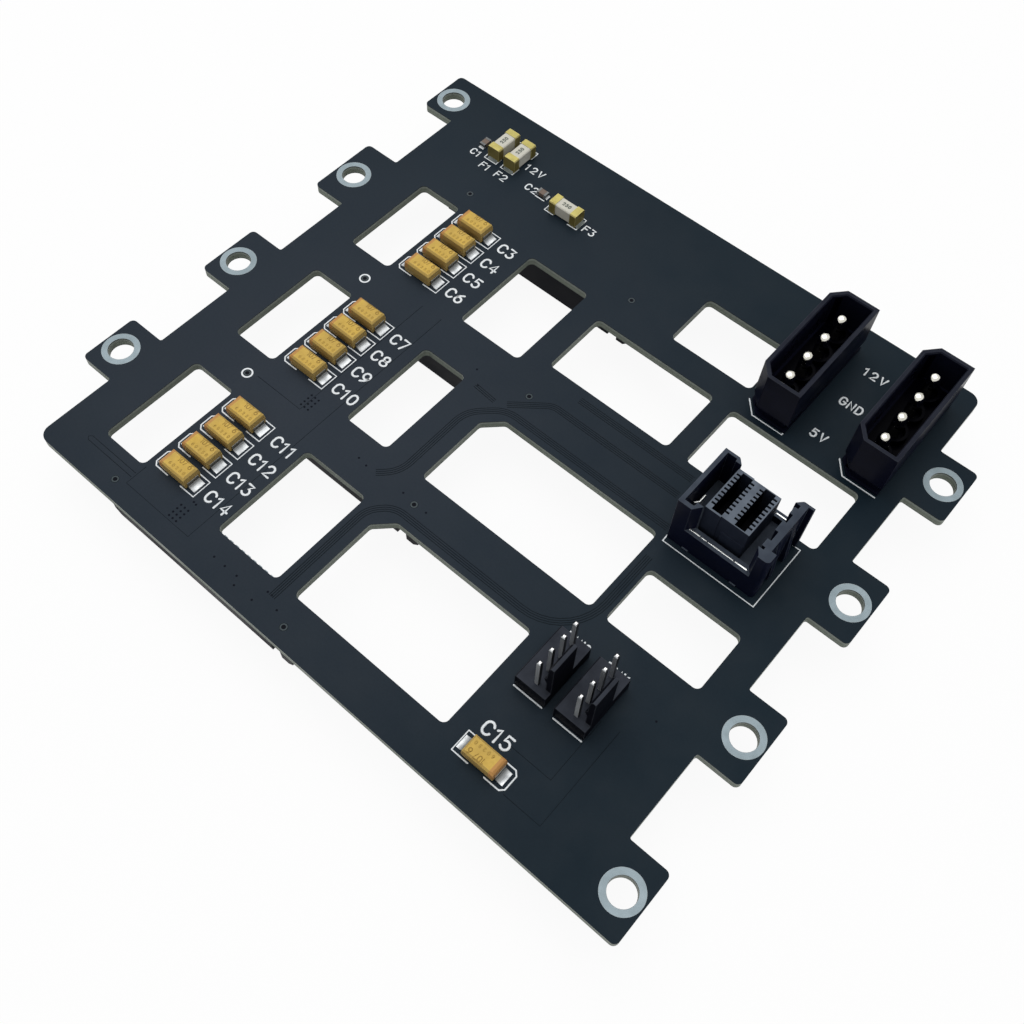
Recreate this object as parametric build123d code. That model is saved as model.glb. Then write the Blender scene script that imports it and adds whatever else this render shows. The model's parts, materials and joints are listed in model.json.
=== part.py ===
from build123d import *
import os

# Drive backplane board for a four-bay cage, in millimetres.
# The board lies flat, component side up. The origin is the centre of its outline on the
# drive side, X runs along the drive sockets, Y across the four bays and Z up.

# Board outline
BOARD_T = 1.6
BODY_X = 109.26          # between the two long edges, without the tabs
BOARD_Y = 107.4
TAB_REACH = 7.03         # how far a mounting tab stands out of the long edge
BODY_CORNER_R = 2.0
TAB_TIP_R = 0.9
TAB_ROOT_R = 0.4

# Mounting holes, counted from the north, with the tab's reach north and south of each
MOUNT_HOLE_R = 2.15
MOUNT_HOLE_INSET = 3.46  # from the tab's tip to the hole's axis
RIGHT_HOLE_TOP = 34.7
RIGHT_HOLE_PITCH = 27.5
RIGHT_TAB_REACHES = ((5.3, 6.1), (6.1, 6.1), (6.2, 6.2), (6.0, 5.9))
LEFT_HOLES = (47.7, 20.3, -8.2, -34.2)
LEFT_TAB_REACHES = ((6.0, 4.5), (7.5, 6.5), (6.7, 5.2), (5.5, 5.1))

# Drive bays: one socket row each
BAYS = 4
ROW_MID = -9.9
ROW_PITCH = 27.4
VENT_BELOW_ROW = 4.0     # from a row down to the air cut-outs below it
VENT_ABOVE_ROW = 4.5     # from a row up to the air cut-outs above it
VENT_CORNER_R = 1.0
VENT_CHAMFER = 3.0

# Air cut-outs: west and east edges of those that fill the band between two rows
WEST_VENT = (-47.0, -37.95)
MIDDLE_VENTS = ((-20.9, -7.93), (-20.9, -11.87), (-20.9, -7.94))
SOUTH_VENT = (-4.21, 25.74)
CENTRE_VENT = (-4.21, 29.62)
CENTRE_VENT_DROP = 2.2   # the centre cut-out starts lower, under the traces
# Air cut-outs: west, east, south and north edges of the others
FREE_VENTS = (
    (-3.28, 21.2, 10.97, 24.18),
    (24.9, 49.4, 10.97, 24.18),
    (8.36, 24.7, 29.27, 40.61),
    (32.4, 49.38, -19.1, -8.0),
)

# Drive socket, on the underside; x and y are counted from the middle of its two pegs
SOCKET_MID_X = -20.35
SOCKET_H = 8.5
SOCKET_FRONT = 1.55      # from the peg line to the south face
SOCKET_WIDE = 4.9
SOCKET_BODY = (-19.45, 15.95)
SOCKET_FLANGE = (-22.85, 23.65)
SOCKET_FLANGE_H = 3.6
SOCKET_EAR = (-20.65, 20.5)
SOCKET_EAR_X = 2.6
EAR_NOTCH_W = 1.3
EAR_TIP_CHAMFER = 1.1
PEG_SPAN = 37.55
PEG_R = 0.6
PEG_HOLE_GAP = 0.05
SLOT_X = (-18.45, 14.95)
SLOT_W = 2.3
SLOT_DEPTH = 6.6
SLOT_KEY_X = 1.3
SLOT_KEY_W = 1.0
CONTACT_PITCH = 1.27
POWER_CONTACTS = 15
SIGNAL_CONTACTS = 7
CONTACT_W = 0.6
CONTACT_T = 0.25
CONTACT_END_GAP = 1.0    # from the slot's mouth to the contact's tip
TAIL_REACH = 0.9
SOLE_GAP = 0.4           # the sole is raised this much over the solder tails

# Moulded capacitors
CAP_L = 5.75
CAP_OVERALL = 6.0
CAP_W = 3.2
CAP_H = 2.5
CAP_PARTING = 1.25
CAP_DRAFT = 6
CAP_BEVEL = 0.3
CAP_LEAD_W = 2.2
CAP_LEAD_T = 0.13
CAP_LEAD_FOOT = 1.1
CAP_X = -32.4
CAP_PITCH = 4.55
CAP_BELOW_ROW = 6.2      # from a row down to the first capacitor under it
CAPS_PER_ROW = 4
CAP_15 = (33.2, -46.6)

# Fuses
FUSE_L = 6.1
FUSE_W = 2.69
FUSE_CAP_L = 1.35
FUSE_CAP_T = 0.12
FUSE_EDGE = 0.2
FUSE_PLACES = ((-41.85, 43.8, 90), (-37.85, 43.65, 90), (-22.6, 38.85, 0))

# Ceramic chip capacitors
CHIP_L = 2.0
CHIP_W = 1.25
CHIP_H = 0.85
CHIP_END_L = 0.45
CHIP_END_T = 0.04
CHIP_PLACES = ((-45.5, 42.7, 90), (-29.05, 40.0, 0))

# Power inlets
INLET_X = 8.1
INLET_Y = 23.4
INLET_H = 10.2
INLET_WALL = 0.8
INLET_KEY_X = 2.1
INLET_KEY_Y = 2.4
INLET_FOOT_H = 2.3
INLET_FOOT_INSET = 0.7
INLET_FLOOR_T = 1.2      # floor thickness above the foot's top
INLET_RIM_BEVEL = 0.2
INLET_PIN_PITCH = 5.08
INLET_PINS = 4
INLET_PIN_R = 1.05
INLET_PIN_TIP = 8.6
INLET_PIN_TAPER = (0.35, 0.4)    # the tip's taper, across and along the pin
INLET_SHANK_W = 1.4      # the square shank runs through floor and board and ends as the tail
INLET_COLLAR_R = 2.3
INLET_COLLAR_T = 0.6
INLET_COLLAR_H = 1.3
INLET_PLACES = ((29.95, 37.35), (47.45, 37.3))
TAIL_BELOW = 1.2         # how far a soldered tail stands out under the board

# Fan headers; x is counted from the base's west side, y from its south end
FAN_BASE_X = 5.5
FAN_BASE_Y = 10.16
FAN_BASE_H = 3.16
FAN_BASE_EDGE = 0.25
FAN_RELIEF_H = 0.4
FAN_RELIEF_Y = 1.6
FAN_PIN_X = 3.05
FAN_PIN_INSET = 1.27
FAN_PIN_PITCH = 2.54
FAN_PINS = 4
FAN_PIN_W = 0.64
FAN_PIN_TIP = 10.5
FAN_PIN_POINT = 0.2
FAN_WALL_T = 0.95
FAN_WALL_Y = 4.9
FAN_WALL_START = 1.2
FAN_WALL_TOP = 11.2
FAN_WALL_LEAD = 0.4
FAN_BUMP = 0.45
FAN_BUMP_LOW = 5.6
FAN_BUMP_HIGH = 7.4
FAN_PLACES = ((36.12, -35.47), (29.03, -35.47))

# Data connector: heights are counted from the board's top
DATA_WEST = 31.0
DATA_SOUTH = -2.1
DATA_Y = 12.2
DATA_FLOOR_H = 3.4
DATA_WALL_H = 5.0
DATA_ARM_H = 11.2
DATA_WEST_ARM_X = 2.4
DATA_WEST_ARM_T = 0.7
DATA_SPAN_X = 14.9       # from the west face to the east arm's outer face
DATA_EAST_ARM_T = 1.0
DATA_END_WALL_T = 1.5    # the low wall at the south end
DATA_BACK_WALL_T = 1.2   # the low wall at the north end
DATA_SHOULDER_X = 1.1    # how far the oblique faces of the end walls' tall parts lean to the middle
DATA_EAST_END_X = 0.8    # from the east arm's outer face to where its end wall's oblique face starts
DATA_BUTTRESS_X = 0.9
DATA_RIB_T = 1.0
DATA_RIB_PLACES = (4.1, 8.1)
DATA_RIB_TOP_DROP = 0.5
DATA_NEAR_CAP_Y = 2.0
DATA_NEAR_CAP_R = 0.7
DATA_FAR_CAP_Y = 0.6
DATA_ARM_TOP_R = 0.5
DATA_LATCH_X = 0.6
DATA_LATCH_SPANS = ((2.0, 3.4), (5.3, 7.3), (9.0, 10.3))
DATA_FOOT_LIP = 0.2
DATA_FOOT_H = 0.4
DATA_FOOT_X = 1.1
DATA_FOOT_PLACES = (3.4, 12.2)
TAB_T = 0.2              # the bent spring tab that stands in the west arm's channel
TAB_H = 3.2
TAB_BENDS = ((0.95, 3.9), (1.5, 4.6), (1.5, 6.1))
SHELL_T = 0.2
SHELL_INSET = 0.55
SHELL_FROM_ARM = 0.4
SHELL_X = 10.4
SHELL_ABOVE = 0.1
SHELL_NICK = 0.25
SHELL_NICKS = (2.0, 3.2, 8.0)
CORE_X = 7.6
CORE_Y = 8.6
CORE_H = 10.3
CORE_FROM_WEST = 3.4
CORE_FROM_SOUTH = 2.3
CORE_STEP_X = 2.7        # the west part of each end face stands a step proud
CORE_STEP_Y = 0.15
CORE_SILL = (3.5, 3.4)   # a low sill on the stepped-back part: its start from the west, its height
CORE_EDGE = 0.2
CORE_SLOT_W = 1.8
CORE_SLOT_PLACES = (1.78, 5.83)
CORE_SLOT_RIM = 0.15
CORE_SLOT_DEPTH = 5.5
COMB_TEETH = 9
COMB_PITCH = 0.79
COMB_GAP = 0.36
COMB_REACH = 0.65
COMB_START = 0.95        # from the slot's south end to the first gap's middle
BLADE_T = 0.12
BLADE_DROP = 0.7         # blade tips lie this far below the comb's top

HALF_X = BODY_X / 2
HALF_Y = BOARD_Y / 2
TAB_X = HALF_X + TAB_REACH
HOLE_X = TAB_X - MOUNT_HOLE_INSET
ROWS = [ROW_MID + ((BAYS - 1) / 2 - bay) * ROW_PITCH for bay in range(BAYS)]
RIGHT_HOLES = [RIGHT_HOLE_TOP - step * RIGHT_HOLE_PITCH for step in range(len(RIGHT_TAB_REACHES))]
SOCKET_MID_Y = SOCKET_WIDE / 2 - SOCKET_FRONT
SIDES = 16               # round pegs, their holes and the inlets' ledges repeat, so they're drawn with flats
TOL = 1e-3


def block(x0, x1, y0, y1, z0, z1):
    """A straight-sided block between two corners."""
    return Pos((x0 + x1) / 2, (y0 + y1) / 2, (z0 + z1) / 2) * Box(x1 - x0, y1 - y0, z1 - z0)


def side_profile(points, y0, y1):
    """A closed outline of (x, z) points, drawn out along Y from y0 to y1."""
    outline = make_face(Plane.XZ * Polyline(*points, close=True))
    return extrude(Pos(0, y0, 0) * outline, y1 - y0, dir=(0, 1, 0))


def end_profile(points, x0, x1):
    """A closed outline of (y, z) points, drawn out along X from x0 to x1."""
    outline = make_face(Plane.YZ * Polyline(*points, close=True))
    return extrude(Pos(x0, 0, 0) * outline, x1 - x0, dir=(1, 0, 0))


def tab_spans(holes, reaches):
    """South and north edge of each mounting tab."""
    return [[hole - south, hole + north] for hole, (north, south) in zip(holes, reaches)]


def board_outline():
    """The body with its tabs; the two tabs at opposite corners run out to the board's edge."""
    right = tab_spans(RIGHT_HOLES, RIGHT_TAB_REACHES)
    left = tab_spans(LEFT_HOLES, LEFT_TAB_REACHES)
    right[-1][0] = -HALF_Y
    left[0][1] = HALF_Y
    outline = Rectangle(BODY_X, BOARD_Y)
    for side, spans in ((1, right), (-1, left)):
        for south, north in spans:
            outline += Pos(side * TAB_X / 2, (south + north) / 2) * Rectangle(TAB_X, north - south)
    tips = [v for v in outline.vertices() if abs(v.X) > TAB_X - TOL]
    outline = fillet(tips, TAB_TIP_R)
    corners = [v for v in outline.vertices() if abs(v.X) < HALF_X + TOL and abs(v.Y) > HALF_Y - TOL]
    outline = fillet(corners, BODY_CORNER_R)
    roots = [v for v in outline.vertices() if abs(abs(v.X) - HALF_X) < TOL and is_root(v, right, left)]
    return fillet(roots, TAB_ROOT_R)


def is_root(vertex, right, left):
    """True where a tab leaves the body's long edge."""
    spans = right if vertex.X > 0 else left
    edges = [y for span in spans for y in span if abs(y) < HALF_Y - TOL]
    return any(abs(vertex.Y - y) < TOL for y in edges)


def vent(west, east, south, north, chamfered=False):
    """Outline of an air cut-out with round corners, the north-west one cut off where asked."""
    outline = Pos((west + east) / 2, (south + north) / 2) * Rectangle(east - west, north - south)
    if chamfered:
        corner = [v for v in outline.vertices() if abs(v.X - west) < TOL and abs(v.Y - north) < TOL]
        outline = chamfer(corner, VENT_CHAMFER)
    return fillet(outline.vertices(), VENT_CORNER_R)


def vents():
    """All the air cut-outs of the board."""
    cuts = []
    for bay in range(BAYS - 1):
        south = ROWS[bay + 1] + VENT_ABOVE_ROW
        north = ROWS[bay] - VENT_BELOW_ROW
        cuts.append(vent(*WEST_VENT, south, north))
        cuts.append(vent(*MIDDLE_VENTS[bay], south, north))
    cuts.append(vent(*CENTRE_VENT, ROWS[2] + VENT_ABOVE_ROW, ROWS[1] - VENT_BELOW_ROW - CENTRE_VENT_DROP, True))
    cuts.append(vent(*SOUTH_VENT, ROWS[3] + VENT_ABOVE_ROW, ROWS[2] - VENT_BELOW_ROW, True))
    for edges in FREE_VENTS:
        cuts.append(vent(*edges))
    return cuts


def inlet_pin_spots():
    """Axes of the power pins, for both inlets."""
    first = -(INLET_PINS - 1) / 2 * INLET_PIN_PITCH
    return [[(x, y + first + pin * INLET_PIN_PITCH) for pin in range(INLET_PINS)] for x, y in INLET_PLACES]


def fan_pin_spots():
    """Axes of the fan header pins, for both headers."""
    return [
        [(x + FAN_PIN_X, y + FAN_PIN_INSET + pin * FAN_PIN_PITCH) for pin in range(FAN_PINS)]
        for x, y in FAN_PLACES
    ]


def peg_spots():
    """Axes of the drive sockets' pegs, west and east one of each row."""
    return [[(SOCKET_MID_X + side * PEG_SPAN / 2, y) for side in (-1, 1)] for y in ROWS]


def board():
    """The bare board with its cut-outs and drilled holes."""
    sheet = board_outline()
    for cut in vents():
        sheet -= cut
    for side, holes in ((1, RIGHT_HOLES), (-1, LEFT_HOLES)):
        for y in holes:
            sheet -= Pos(side * HOLE_X, y) * Circle(MOUNT_HOLE_R)
    # Solder fills the pins' holes, so each of those is cut to the square tail that stands in it.
    drilled = ((peg_spots(), RegularPolygon(PEG_R + PEG_HOLE_GAP, SIDES)),
               (inlet_pin_spots(), Rectangle(INLET_SHANK_W, INLET_SHANK_W)),
               (fan_pin_spots(), Rectangle(FAN_PIN_W, FAN_PIN_W)))
    for groups, hole in drilled:
        for group in groups:
            for x, y in group:
                sheet -= Pos(x, y) * hole
    return extrude(sheet, BOARD_T)


def capacitor_body():
    """Moulded block, widest at the mould's parting line, with bevelled top edges."""
    parting = Pos(0, 0, CAP_PARTING) * Rectangle(CAP_L, CAP_W)
    upper = extrude(parting, CAP_H - CAP_PARTING, taper=CAP_DRAFT)
    lower = extrude(parting, CAP_PARTING - CAP_LEAD_T, dir=(0, 0, -1), taper=CAP_DRAFT)
    body = upper + lower
    return chamfer(body.faces().sort_by(Axis.Z)[-1].edges(), CAP_BEVEL)


def capacitor_leads():
    """Two lead straps that come out at the parting line and fold under the body."""
    half = CAP_OVERALL / 2
    inner = CAP_L / 2
    toe = half - CAP_LEAD_FOOT
    strap = [(toe, 0), (half, 0), (half, CAP_PARTING), (inner, CAP_PARTING), (inner, CAP_LEAD_T),
             (toe, CAP_LEAD_T)]
    east = side_profile(strap, -CAP_LEAD_W / 2, CAP_LEAD_W / 2)
    return [east, Rot(0, 0, 180) * east]


def capped_block(length, width, height, end_length, end_wall, edge):
    """A block and the two metal cups that close its ends."""
    core = Pos(0, 0, height / 2) * Box(length - 2 * end_wall, width - 2 * end_wall, height - 2 * end_wall)
    shell = Pos(0, 0, height / 2) * Box(length, width, height)
    if edge:
        shell = chamfer(shell.edges().filter_by(Axis.X), edge)
    middle = Pos(0, 0, height / 2) * Box(length - 2 * end_length, 2 * width, 2 * height)
    cups = shell - core - middle
    return core, list(cups.solids())


def inlet_outline(inset=0.0):
    """Plan of the inlet, with its two west corners cut off as a key."""
    x = INLET_X / 2
    y = INLET_Y / 2
    outline = make_face(Polyline(
        (x, -y), (x, y), (INLET_KEY_X - x, y), (-x, y - INLET_KEY_Y),
        (-x, INLET_KEY_Y - y), (INLET_KEY_X - x, -y), close=True))
    if inset:
        return offset(outline, -inset, kind=Kind.INTERSECTION)
    return outline


def inlet_housing():
    """Open shroud on a narrower foot, with a half-moon ledge east of each pin on its floor."""
    floor_top = INLET_FOOT_H + INLET_FLOOR_T
    foot = extrude(inlet_outline(INLET_FOOT_INSET), INLET_FOOT_H)
    shroud = extrude(Pos(0, 0, INLET_FOOT_H) * inlet_outline(), INLET_H - INLET_FOOT_H)
    cavity = extrude(Pos(0, 0, floor_top) * inlet_outline(INLET_WALL), INLET_H - floor_top)
    housing = foot + shroud - cavity
    rim = housing.faces().sort_by(Axis.Z)[-1]
    housing = chamfer(rim.inner_wires()[0].edges(), INLET_RIM_BEVEL)
    first = -(INLET_PINS - 1) / 2 * INLET_PIN_PITCH
    for pin in range(INLET_PINS):
        y = first + pin * INLET_PIN_PITCH
        ring = RegularPolygon(INLET_COLLAR_R, SIDES) - RegularPolygon(INLET_COLLAR_R - INLET_COLLAR_T, SIDES)
        ring -= Pos(-INLET_COLLAR_R, 0) * Rectangle(2 * INLET_COLLAR_R, 2 * INLET_COLLAR_R)
        housing += extrude(Pos(0, y, floor_top) * ring, INLET_COLLAR_H)
        housing -= Pos(0, y, floor_top / 2) * Box(INLET_SHANK_W, INLET_SHANK_W, floor_top)
    return housing


def inlet_pin():
    """Round pin with a tapered tip, on a square shank that ends as the soldered tail."""
    floor_top = INLET_FOOT_H + INLET_FLOOR_T
    bottom = -BOARD_T - TAIL_BELOW
    pin = Pos(0, 0, (floor_top + INLET_PIN_TIP) / 2) * Cylinder(INLET_PIN_R, INLET_PIN_TIP - floor_top)
    pin = chamfer(pin.edges().sort_by(Axis.Z)[-1], INLET_PIN_TAPER[1], INLET_PIN_TAPER[0])
    return pin + Pos(0, 0, (bottom + floor_top) / 2) * Box(INLET_SHANK_W, INLET_SHANK_W, floor_top - bottom)


def fan_base():
    """Header base with a locking wall along its east side; the pins' square holes go through."""
    base = block(0, FAN_BASE_X, 0, FAN_BASE_Y, 0, FAN_BASE_H)
    base = chamfer(base.edges().filter_by(Axis.Y).group_by(Axis.Z)[-1].sort_by(Axis.X)[0], FAN_BASE_EDGE)
    relief_end = FAN_BASE_Y - FAN_RELIEF_Y
    base -= block(0, FAN_BASE_X, FAN_RELIEF_Y, relief_end, 0, FAN_RELIEF_H)
    outer = FAN_BASE_X
    inner = FAN_BASE_X - FAN_WALL_T
    wall = [
        (outer, FAN_BASE_H), (outer, FAN_WALL_TOP), (inner + FAN_WALL_LEAD, FAN_WALL_TOP),
        (inner, FAN_WALL_TOP - 2 * FAN_WALL_LEAD), (inner, FAN_BUMP_HIGH),
        (inner - FAN_BUMP, (FAN_BUMP_LOW + FAN_BUMP_HIGH) / 2), (inner, FAN_BUMP_LOW), (inner, FAN_BASE_H)]
    base += side_profile(wall, FAN_WALL_START, FAN_WALL_START + FAN_WALL_Y)
    for pin in range(FAN_PINS):
        y = FAN_PIN_INSET + pin * FAN_PIN_PITCH
        base -= Pos(FAN_PIN_X, y, FAN_BASE_H / 2) * Box(FAN_PIN_W, FAN_PIN_W, FAN_BASE_H)
    return base


def fan_pin():
    """Square pin, pointed at both ends."""
    bottom = -BOARD_T - TAIL_BELOW
    pin = Pos(0, 0, (FAN_PIN_TIP + bottom) / 2) * Box(FAN_PIN_W, FAN_PIN_W, FAN_PIN_TIP - bottom)
    ends = pin.faces().sort_by(Axis.Z)
    return chamfer(ends[0].edges() + ends[-1].edges(), FAN_PIN_POINT)


def upright(points, z0, z1):
    """A closed plan of (x, y) points, raised from z0 to z1."""
    return extrude(Pos(0, 0, z0) * make_face(Polyline(*points, close=True)), z1 - z0)


def end_wall_plans(outer, inner, west, east):
    """Plans of the tall parts at both ends of an end wall, with their inner faces set obliquely."""
    west_foot = west + DATA_WEST_ARM_X
    east_foot = east - DATA_EAST_END_X
    west_plan = [(west, outer), (west_foot, outer), (west_foot + DATA_SHOULDER_X, inner), (west, inner)]
    east_plan = [(east, outer), (east_foot, outer), (east_foot - DATA_SHOULDER_X, inner), (east, inner)]
    return west_plan, east_plan


def data_shroud():
    """Shroud with two tall arms, two low end walls with oblique shoulders and a floor."""
    west = DATA_WEST
    east = DATA_WEST + DATA_SPAN_X
    south = DATA_SOUTH
    north = DATA_SOUTH + DATA_Y
    west_arm = west + DATA_WEST_ARM_X
    east_arm = east - DATA_EAST_ARM_T
    skirt = east + DATA_BUTTRESS_X
    shroud = block(west, east, south, north, 0, DATA_FLOOR_H)
    for outer, inner in ((south, south + DATA_END_WALL_T), (north, north - DATA_BACK_WALL_T)):
        shroud += block(west, east, min(outer, inner), max(outer, inner), 0, DATA_WALL_H)
        for plan in end_wall_plans(outer, inner, west, east):
            shroud += upright(plan, 0, DATA_ARM_H)
    shroud += block(west, west + DATA_WEST_ARM_T, south, north, 0, DATA_ARM_H)
    shroud += block(east_arm, east, south, north, 0, DATA_ARM_H)
    shroud -= block(west + DATA_WEST_ARM_T, west_arm, south + DATA_WEST_ARM_T, north - DATA_WEST_ARM_T,
                    DATA_FLOOR_H, DATA_ARM_H)
    rib_top = DATA_ARM_H - DATA_RIB_TOP_DROP
    buttress = [(east, 0), (skirt, 0), (skirt, DATA_FLOOR_H / 2), (east, rib_top)]
    for y in DATA_RIB_PLACES:
        shroud += side_profile(buttress, south + y, south + y + DATA_RIB_T)
    near_cap = block(east, skirt, south, south + DATA_NEAR_CAP_Y, 0, DATA_ARM_H)
    near_corner = near_cap.edges().filter_by(Axis.Z).sort_by(Axis.Y)[:2].sort_by(Axis.X)[-1]
    shroud += fillet(near_corner, DATA_NEAR_CAP_R)
    shroud += block(east, skirt, north - DATA_FAR_CAP_Y, north, 0, DATA_ARM_H)
    far_top = shroud.edges().filter_by(Axis.X).filter_by(lambda e: e.center().Z > DATA_ARM_H - TOL)
    shroud = fillet(far_top.filter_by(lambda e: e.center().Y > north - TOL), DATA_ARM_TOP_R)
    for first, last in DATA_LATCH_SPANS:
        shroud += block(east_arm - DATA_LATCH_X, east_arm, south + first, south + last,
                        DATA_FLOOR_H, DATA_ARM_H)
    for x in DATA_FOOT_PLACES:
        shroud += block(west + x - DATA_FOOT_X / 2, west + x + DATA_FOOT_X / 2, south - DATA_FOOT_LIP, south,
                        0, DATA_FOOT_H)
    for strip in shell_strips(nicked=False):
        shroud -= strip
    return shroud


def spring_tab():
    """Bent metal strip that stands on the floor of the west arm's channel."""
    path = Polyline(*[(DATA_WEST + x, DATA_SOUTH + y) for x, y in TAB_BENDS])
    return extrude(Pos(0, 0, DATA_FLOOR_H) * trace(path, TAB_T), TAB_H)


def shell_strips(nicked=True):
    """Metal strips that stand in a groove of each end wall, nicked along the top."""
    x0 = DATA_WEST + DATA_WEST_ARM_X + SHELL_FROM_ARM
    top = DATA_WALL_H + SHELL_ABOVE
    strips = []
    for y0 in (DATA_SOUTH + SHELL_INSET, DATA_SOUTH + DATA_Y - SHELL_INSET - SHELL_T):
        strip = block(x0, x0 + SHELL_X, y0, y0 + SHELL_T, 0, top)
        if nicked:
            for x in SHELL_NICKS:
                strip -= block(x0 + x, x0 + x + SHELL_NICK, y0, y0 + SHELL_T, top - SHELL_NICK, top)
        strips.append(strip)
    return strips


def comb_spots():
    """South and north edge of each comb gap, counted from the core's south face."""
    first = CORE_STEP_Y + CORE_SLOT_RIM + COMB_START
    middles = [first + tooth * COMB_PITCH for tooth in range(COMB_TEETH)]
    return [(middle - COMB_GAP / 2, middle + COMB_GAP / 2) for middle in middles]


def data_core():
    """Contact carrier with two deep slots, each flanked by combs that keep the blades apart."""
    x0 = DATA_WEST + CORE_FROM_WEST
    y0 = DATA_SOUTH + CORE_FROM_SOUTH
    core = block(x0, x0 + CORE_X, y0, y0 + CORE_Y, DATA_FLOOR_H, CORE_H)
    outer = core.edges().filter_by(Axis.Z).filter_by(lambda e: e.center().X > x0 + CORE_X - TOL)
    core = chamfer(outer, CORE_EDGE)
    step = block(x0 + CORE_STEP_X, x0 + CORE_X, 0, CORE_STEP_Y, DATA_FLOOR_H, CORE_H)
    step -= block(x0 + CORE_SILL[0], x0 + CORE_X, 0, CORE_STEP_Y, DATA_FLOOR_H, DATA_FLOOR_H + CORE_SILL[1])
    for y in (y0, y0 + CORE_Y - CORE_STEP_Y):
        core -= Pos(0, y, 0) * step
    bottom = CORE_H - CORE_SLOT_DEPTH
    for middle in CORE_SLOT_PLACES:
        length = CORE_Y - 2 * (CORE_SLOT_RIM + CORE_STEP_Y)
        plan = Pos(x0 + middle, y0 + CORE_Y / 2) * Rectangle(CORE_SLOT_W, length)
        for south, north in comb_spots():
            plan += Pos(x0 + middle, y0 + (south + north) / 2) * Rectangle(
                CORE_SLOT_W + 2 * COMB_REACH, north - south)
        core -= extrude(Pos(0, 0, bottom) * plan, CORE_SLOT_DEPTH)
    return core


def data_contacts():
    """One spring blade at the back of each comb gap."""
    x0 = DATA_WEST + CORE_FROM_WEST
    y0 = DATA_SOUTH + CORE_FROM_SOUTH
    reach = CORE_SLOT_W / 2 + COMB_REACH
    bottom = CORE_H - CORE_SLOT_DEPTH
    blades = []
    for middle in CORE_SLOT_PLACES:
        for south, north in comb_spots():
            for side in (-1, 1):
                wall = x0 + middle + side * reach
                face = wall - side * BLADE_T
                blades.append(block(min(wall, face), max(wall, face), y0 + south, y0 + north,
                                    bottom, CORE_H - BLADE_DROP))
    return blades


def contact_spots():
    """X of each contact of a drive socket, power contacts first, then the signal ones."""
    first = SLOT_X[0] + SLOT_KEY_X + CONTACT_PITCH
    count = POWER_CONTACTS + SIGNAL_CONTACTS
    gap = (SLOT_X[1] - SLOT_X[0] - 2 * SLOT_KEY_X - (count + 1) * CONTACT_PITCH)
    places = []
    for contact in range(count):
        shift = gap if contact >= POWER_CONTACTS else 0
        places.append(first + contact * CONTACT_PITCH + shift)
    return places


def socket_housing():
    """Long socket with a keyed slot, grooves for the contacts, a flange, two guide ears and two pegs."""
    south = -SOCKET_FRONT
    north = south + SOCKET_WIDE
    body = block(*SOCKET_BODY, south, north, -SOCKET_H, 0)
    body += block(*SOCKET_FLANGE, south, north, -SOCKET_FLANGE_H, 0)
    tip = -SOCKET_H
    shoulder = EAR_TIP_CHAMFER
    for outer, way in ((SOCKET_EAR[0], 1), (SOCKET_EAR[1], -1)):
        inner = outer + way * SOCKET_EAR_X
        ear = [(outer, 0), (outer, tip + shoulder), (outer + way * shoulder, tip), (inner, tip), (inner, 0)]
        body += side_profile(ear, south, north)
    notch = SOCKET_EAR[1] - SOCKET_EAR_X
    body -= block(notch - EAR_NOTCH_W, notch, south, north, -SOCKET_H, -SOCKET_FLANGE_H)
    slot = Pos((SLOT_X[0] + SLOT_X[1]) / 2, SOCKET_MID_Y) * Rectangle(SLOT_X[1] - SLOT_X[0], SLOT_W)
    key_y = SOCKET_MID_Y - SLOT_W / 2 - SLOT_KEY_W / 2
    slot += Pos(SLOT_X[1] - SLOT_KEY_X / 2, key_y) * Rectangle(SLOT_KEY_X, SLOT_KEY_W)
    slot += Pos(SLOT_X[0] + SLOT_KEY_X / 2, key_y) * Rectangle(SLOT_KEY_X, SLOT_KEY_W)
    body -= extrude(Pos(0, 0, -SOCKET_H) * slot, SLOT_DEPTH)
    wall = SOCKET_MID_Y + SLOT_W / 2
    places = contact_spots()
    body -= block(places[0] - CONTACT_PITCH / 2, places[-1] + CONTACT_PITCH / 2, wall, north, -SOLE_GAP, 0)
    for group in (places[:POWER_CONTACTS], places[POWER_CONTACTS:]):
        body -= block(group[0] - CONTACT_W / 2, group[-1] + CONTACT_W / 2, wall, wall + CONTACT_T,
                      -SOCKET_H + CONTACT_END_GAP, 0)
    for side in (-1, 1):
        body += extrude(Pos(side * PEG_SPAN / 2, 0, 0) * RegularPolygon(PEG_R, SIDES), BOARD_T)
    return body


def socket_contacts():
    """Contact straps in the slot's north wall, each with a solder tail under the board."""
    wall = SOCKET_MID_Y + SLOT_W / 2
    back = wall + CONTACT_T
    toe = SOCKET_WIDE - SOCKET_FRONT + TAIL_REACH
    strap = [(wall, -SOCKET_H + CONTACT_END_GAP), (back, -SOCKET_H + CONTACT_END_GAP), (back, -CONTACT_T),
             (toe, -CONTACT_T), (toe, 0), (wall, 0)]
    return [end_profile(strap, x - CONTACT_W / 2, x + CONTACT_W / 2) for x in contact_spots()]


def placed(shape, x, y, z, turn=0):
    """A local shape, or each of a list, turned about Z and moved to its place."""
    spot = Pos(x, y, z) * Rot(0, 0, turn)
    if isinstance(shape, list):
        return [spot * one for one in shape]
    return spot * shape


def save(node, shape):
    """Write one sub-part; a list becomes one file of separate solids."""
    if isinstance(shape, list):
        shape = Compound(children=shape)
    export_step(shape, f"parts/{node}.step")


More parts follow.
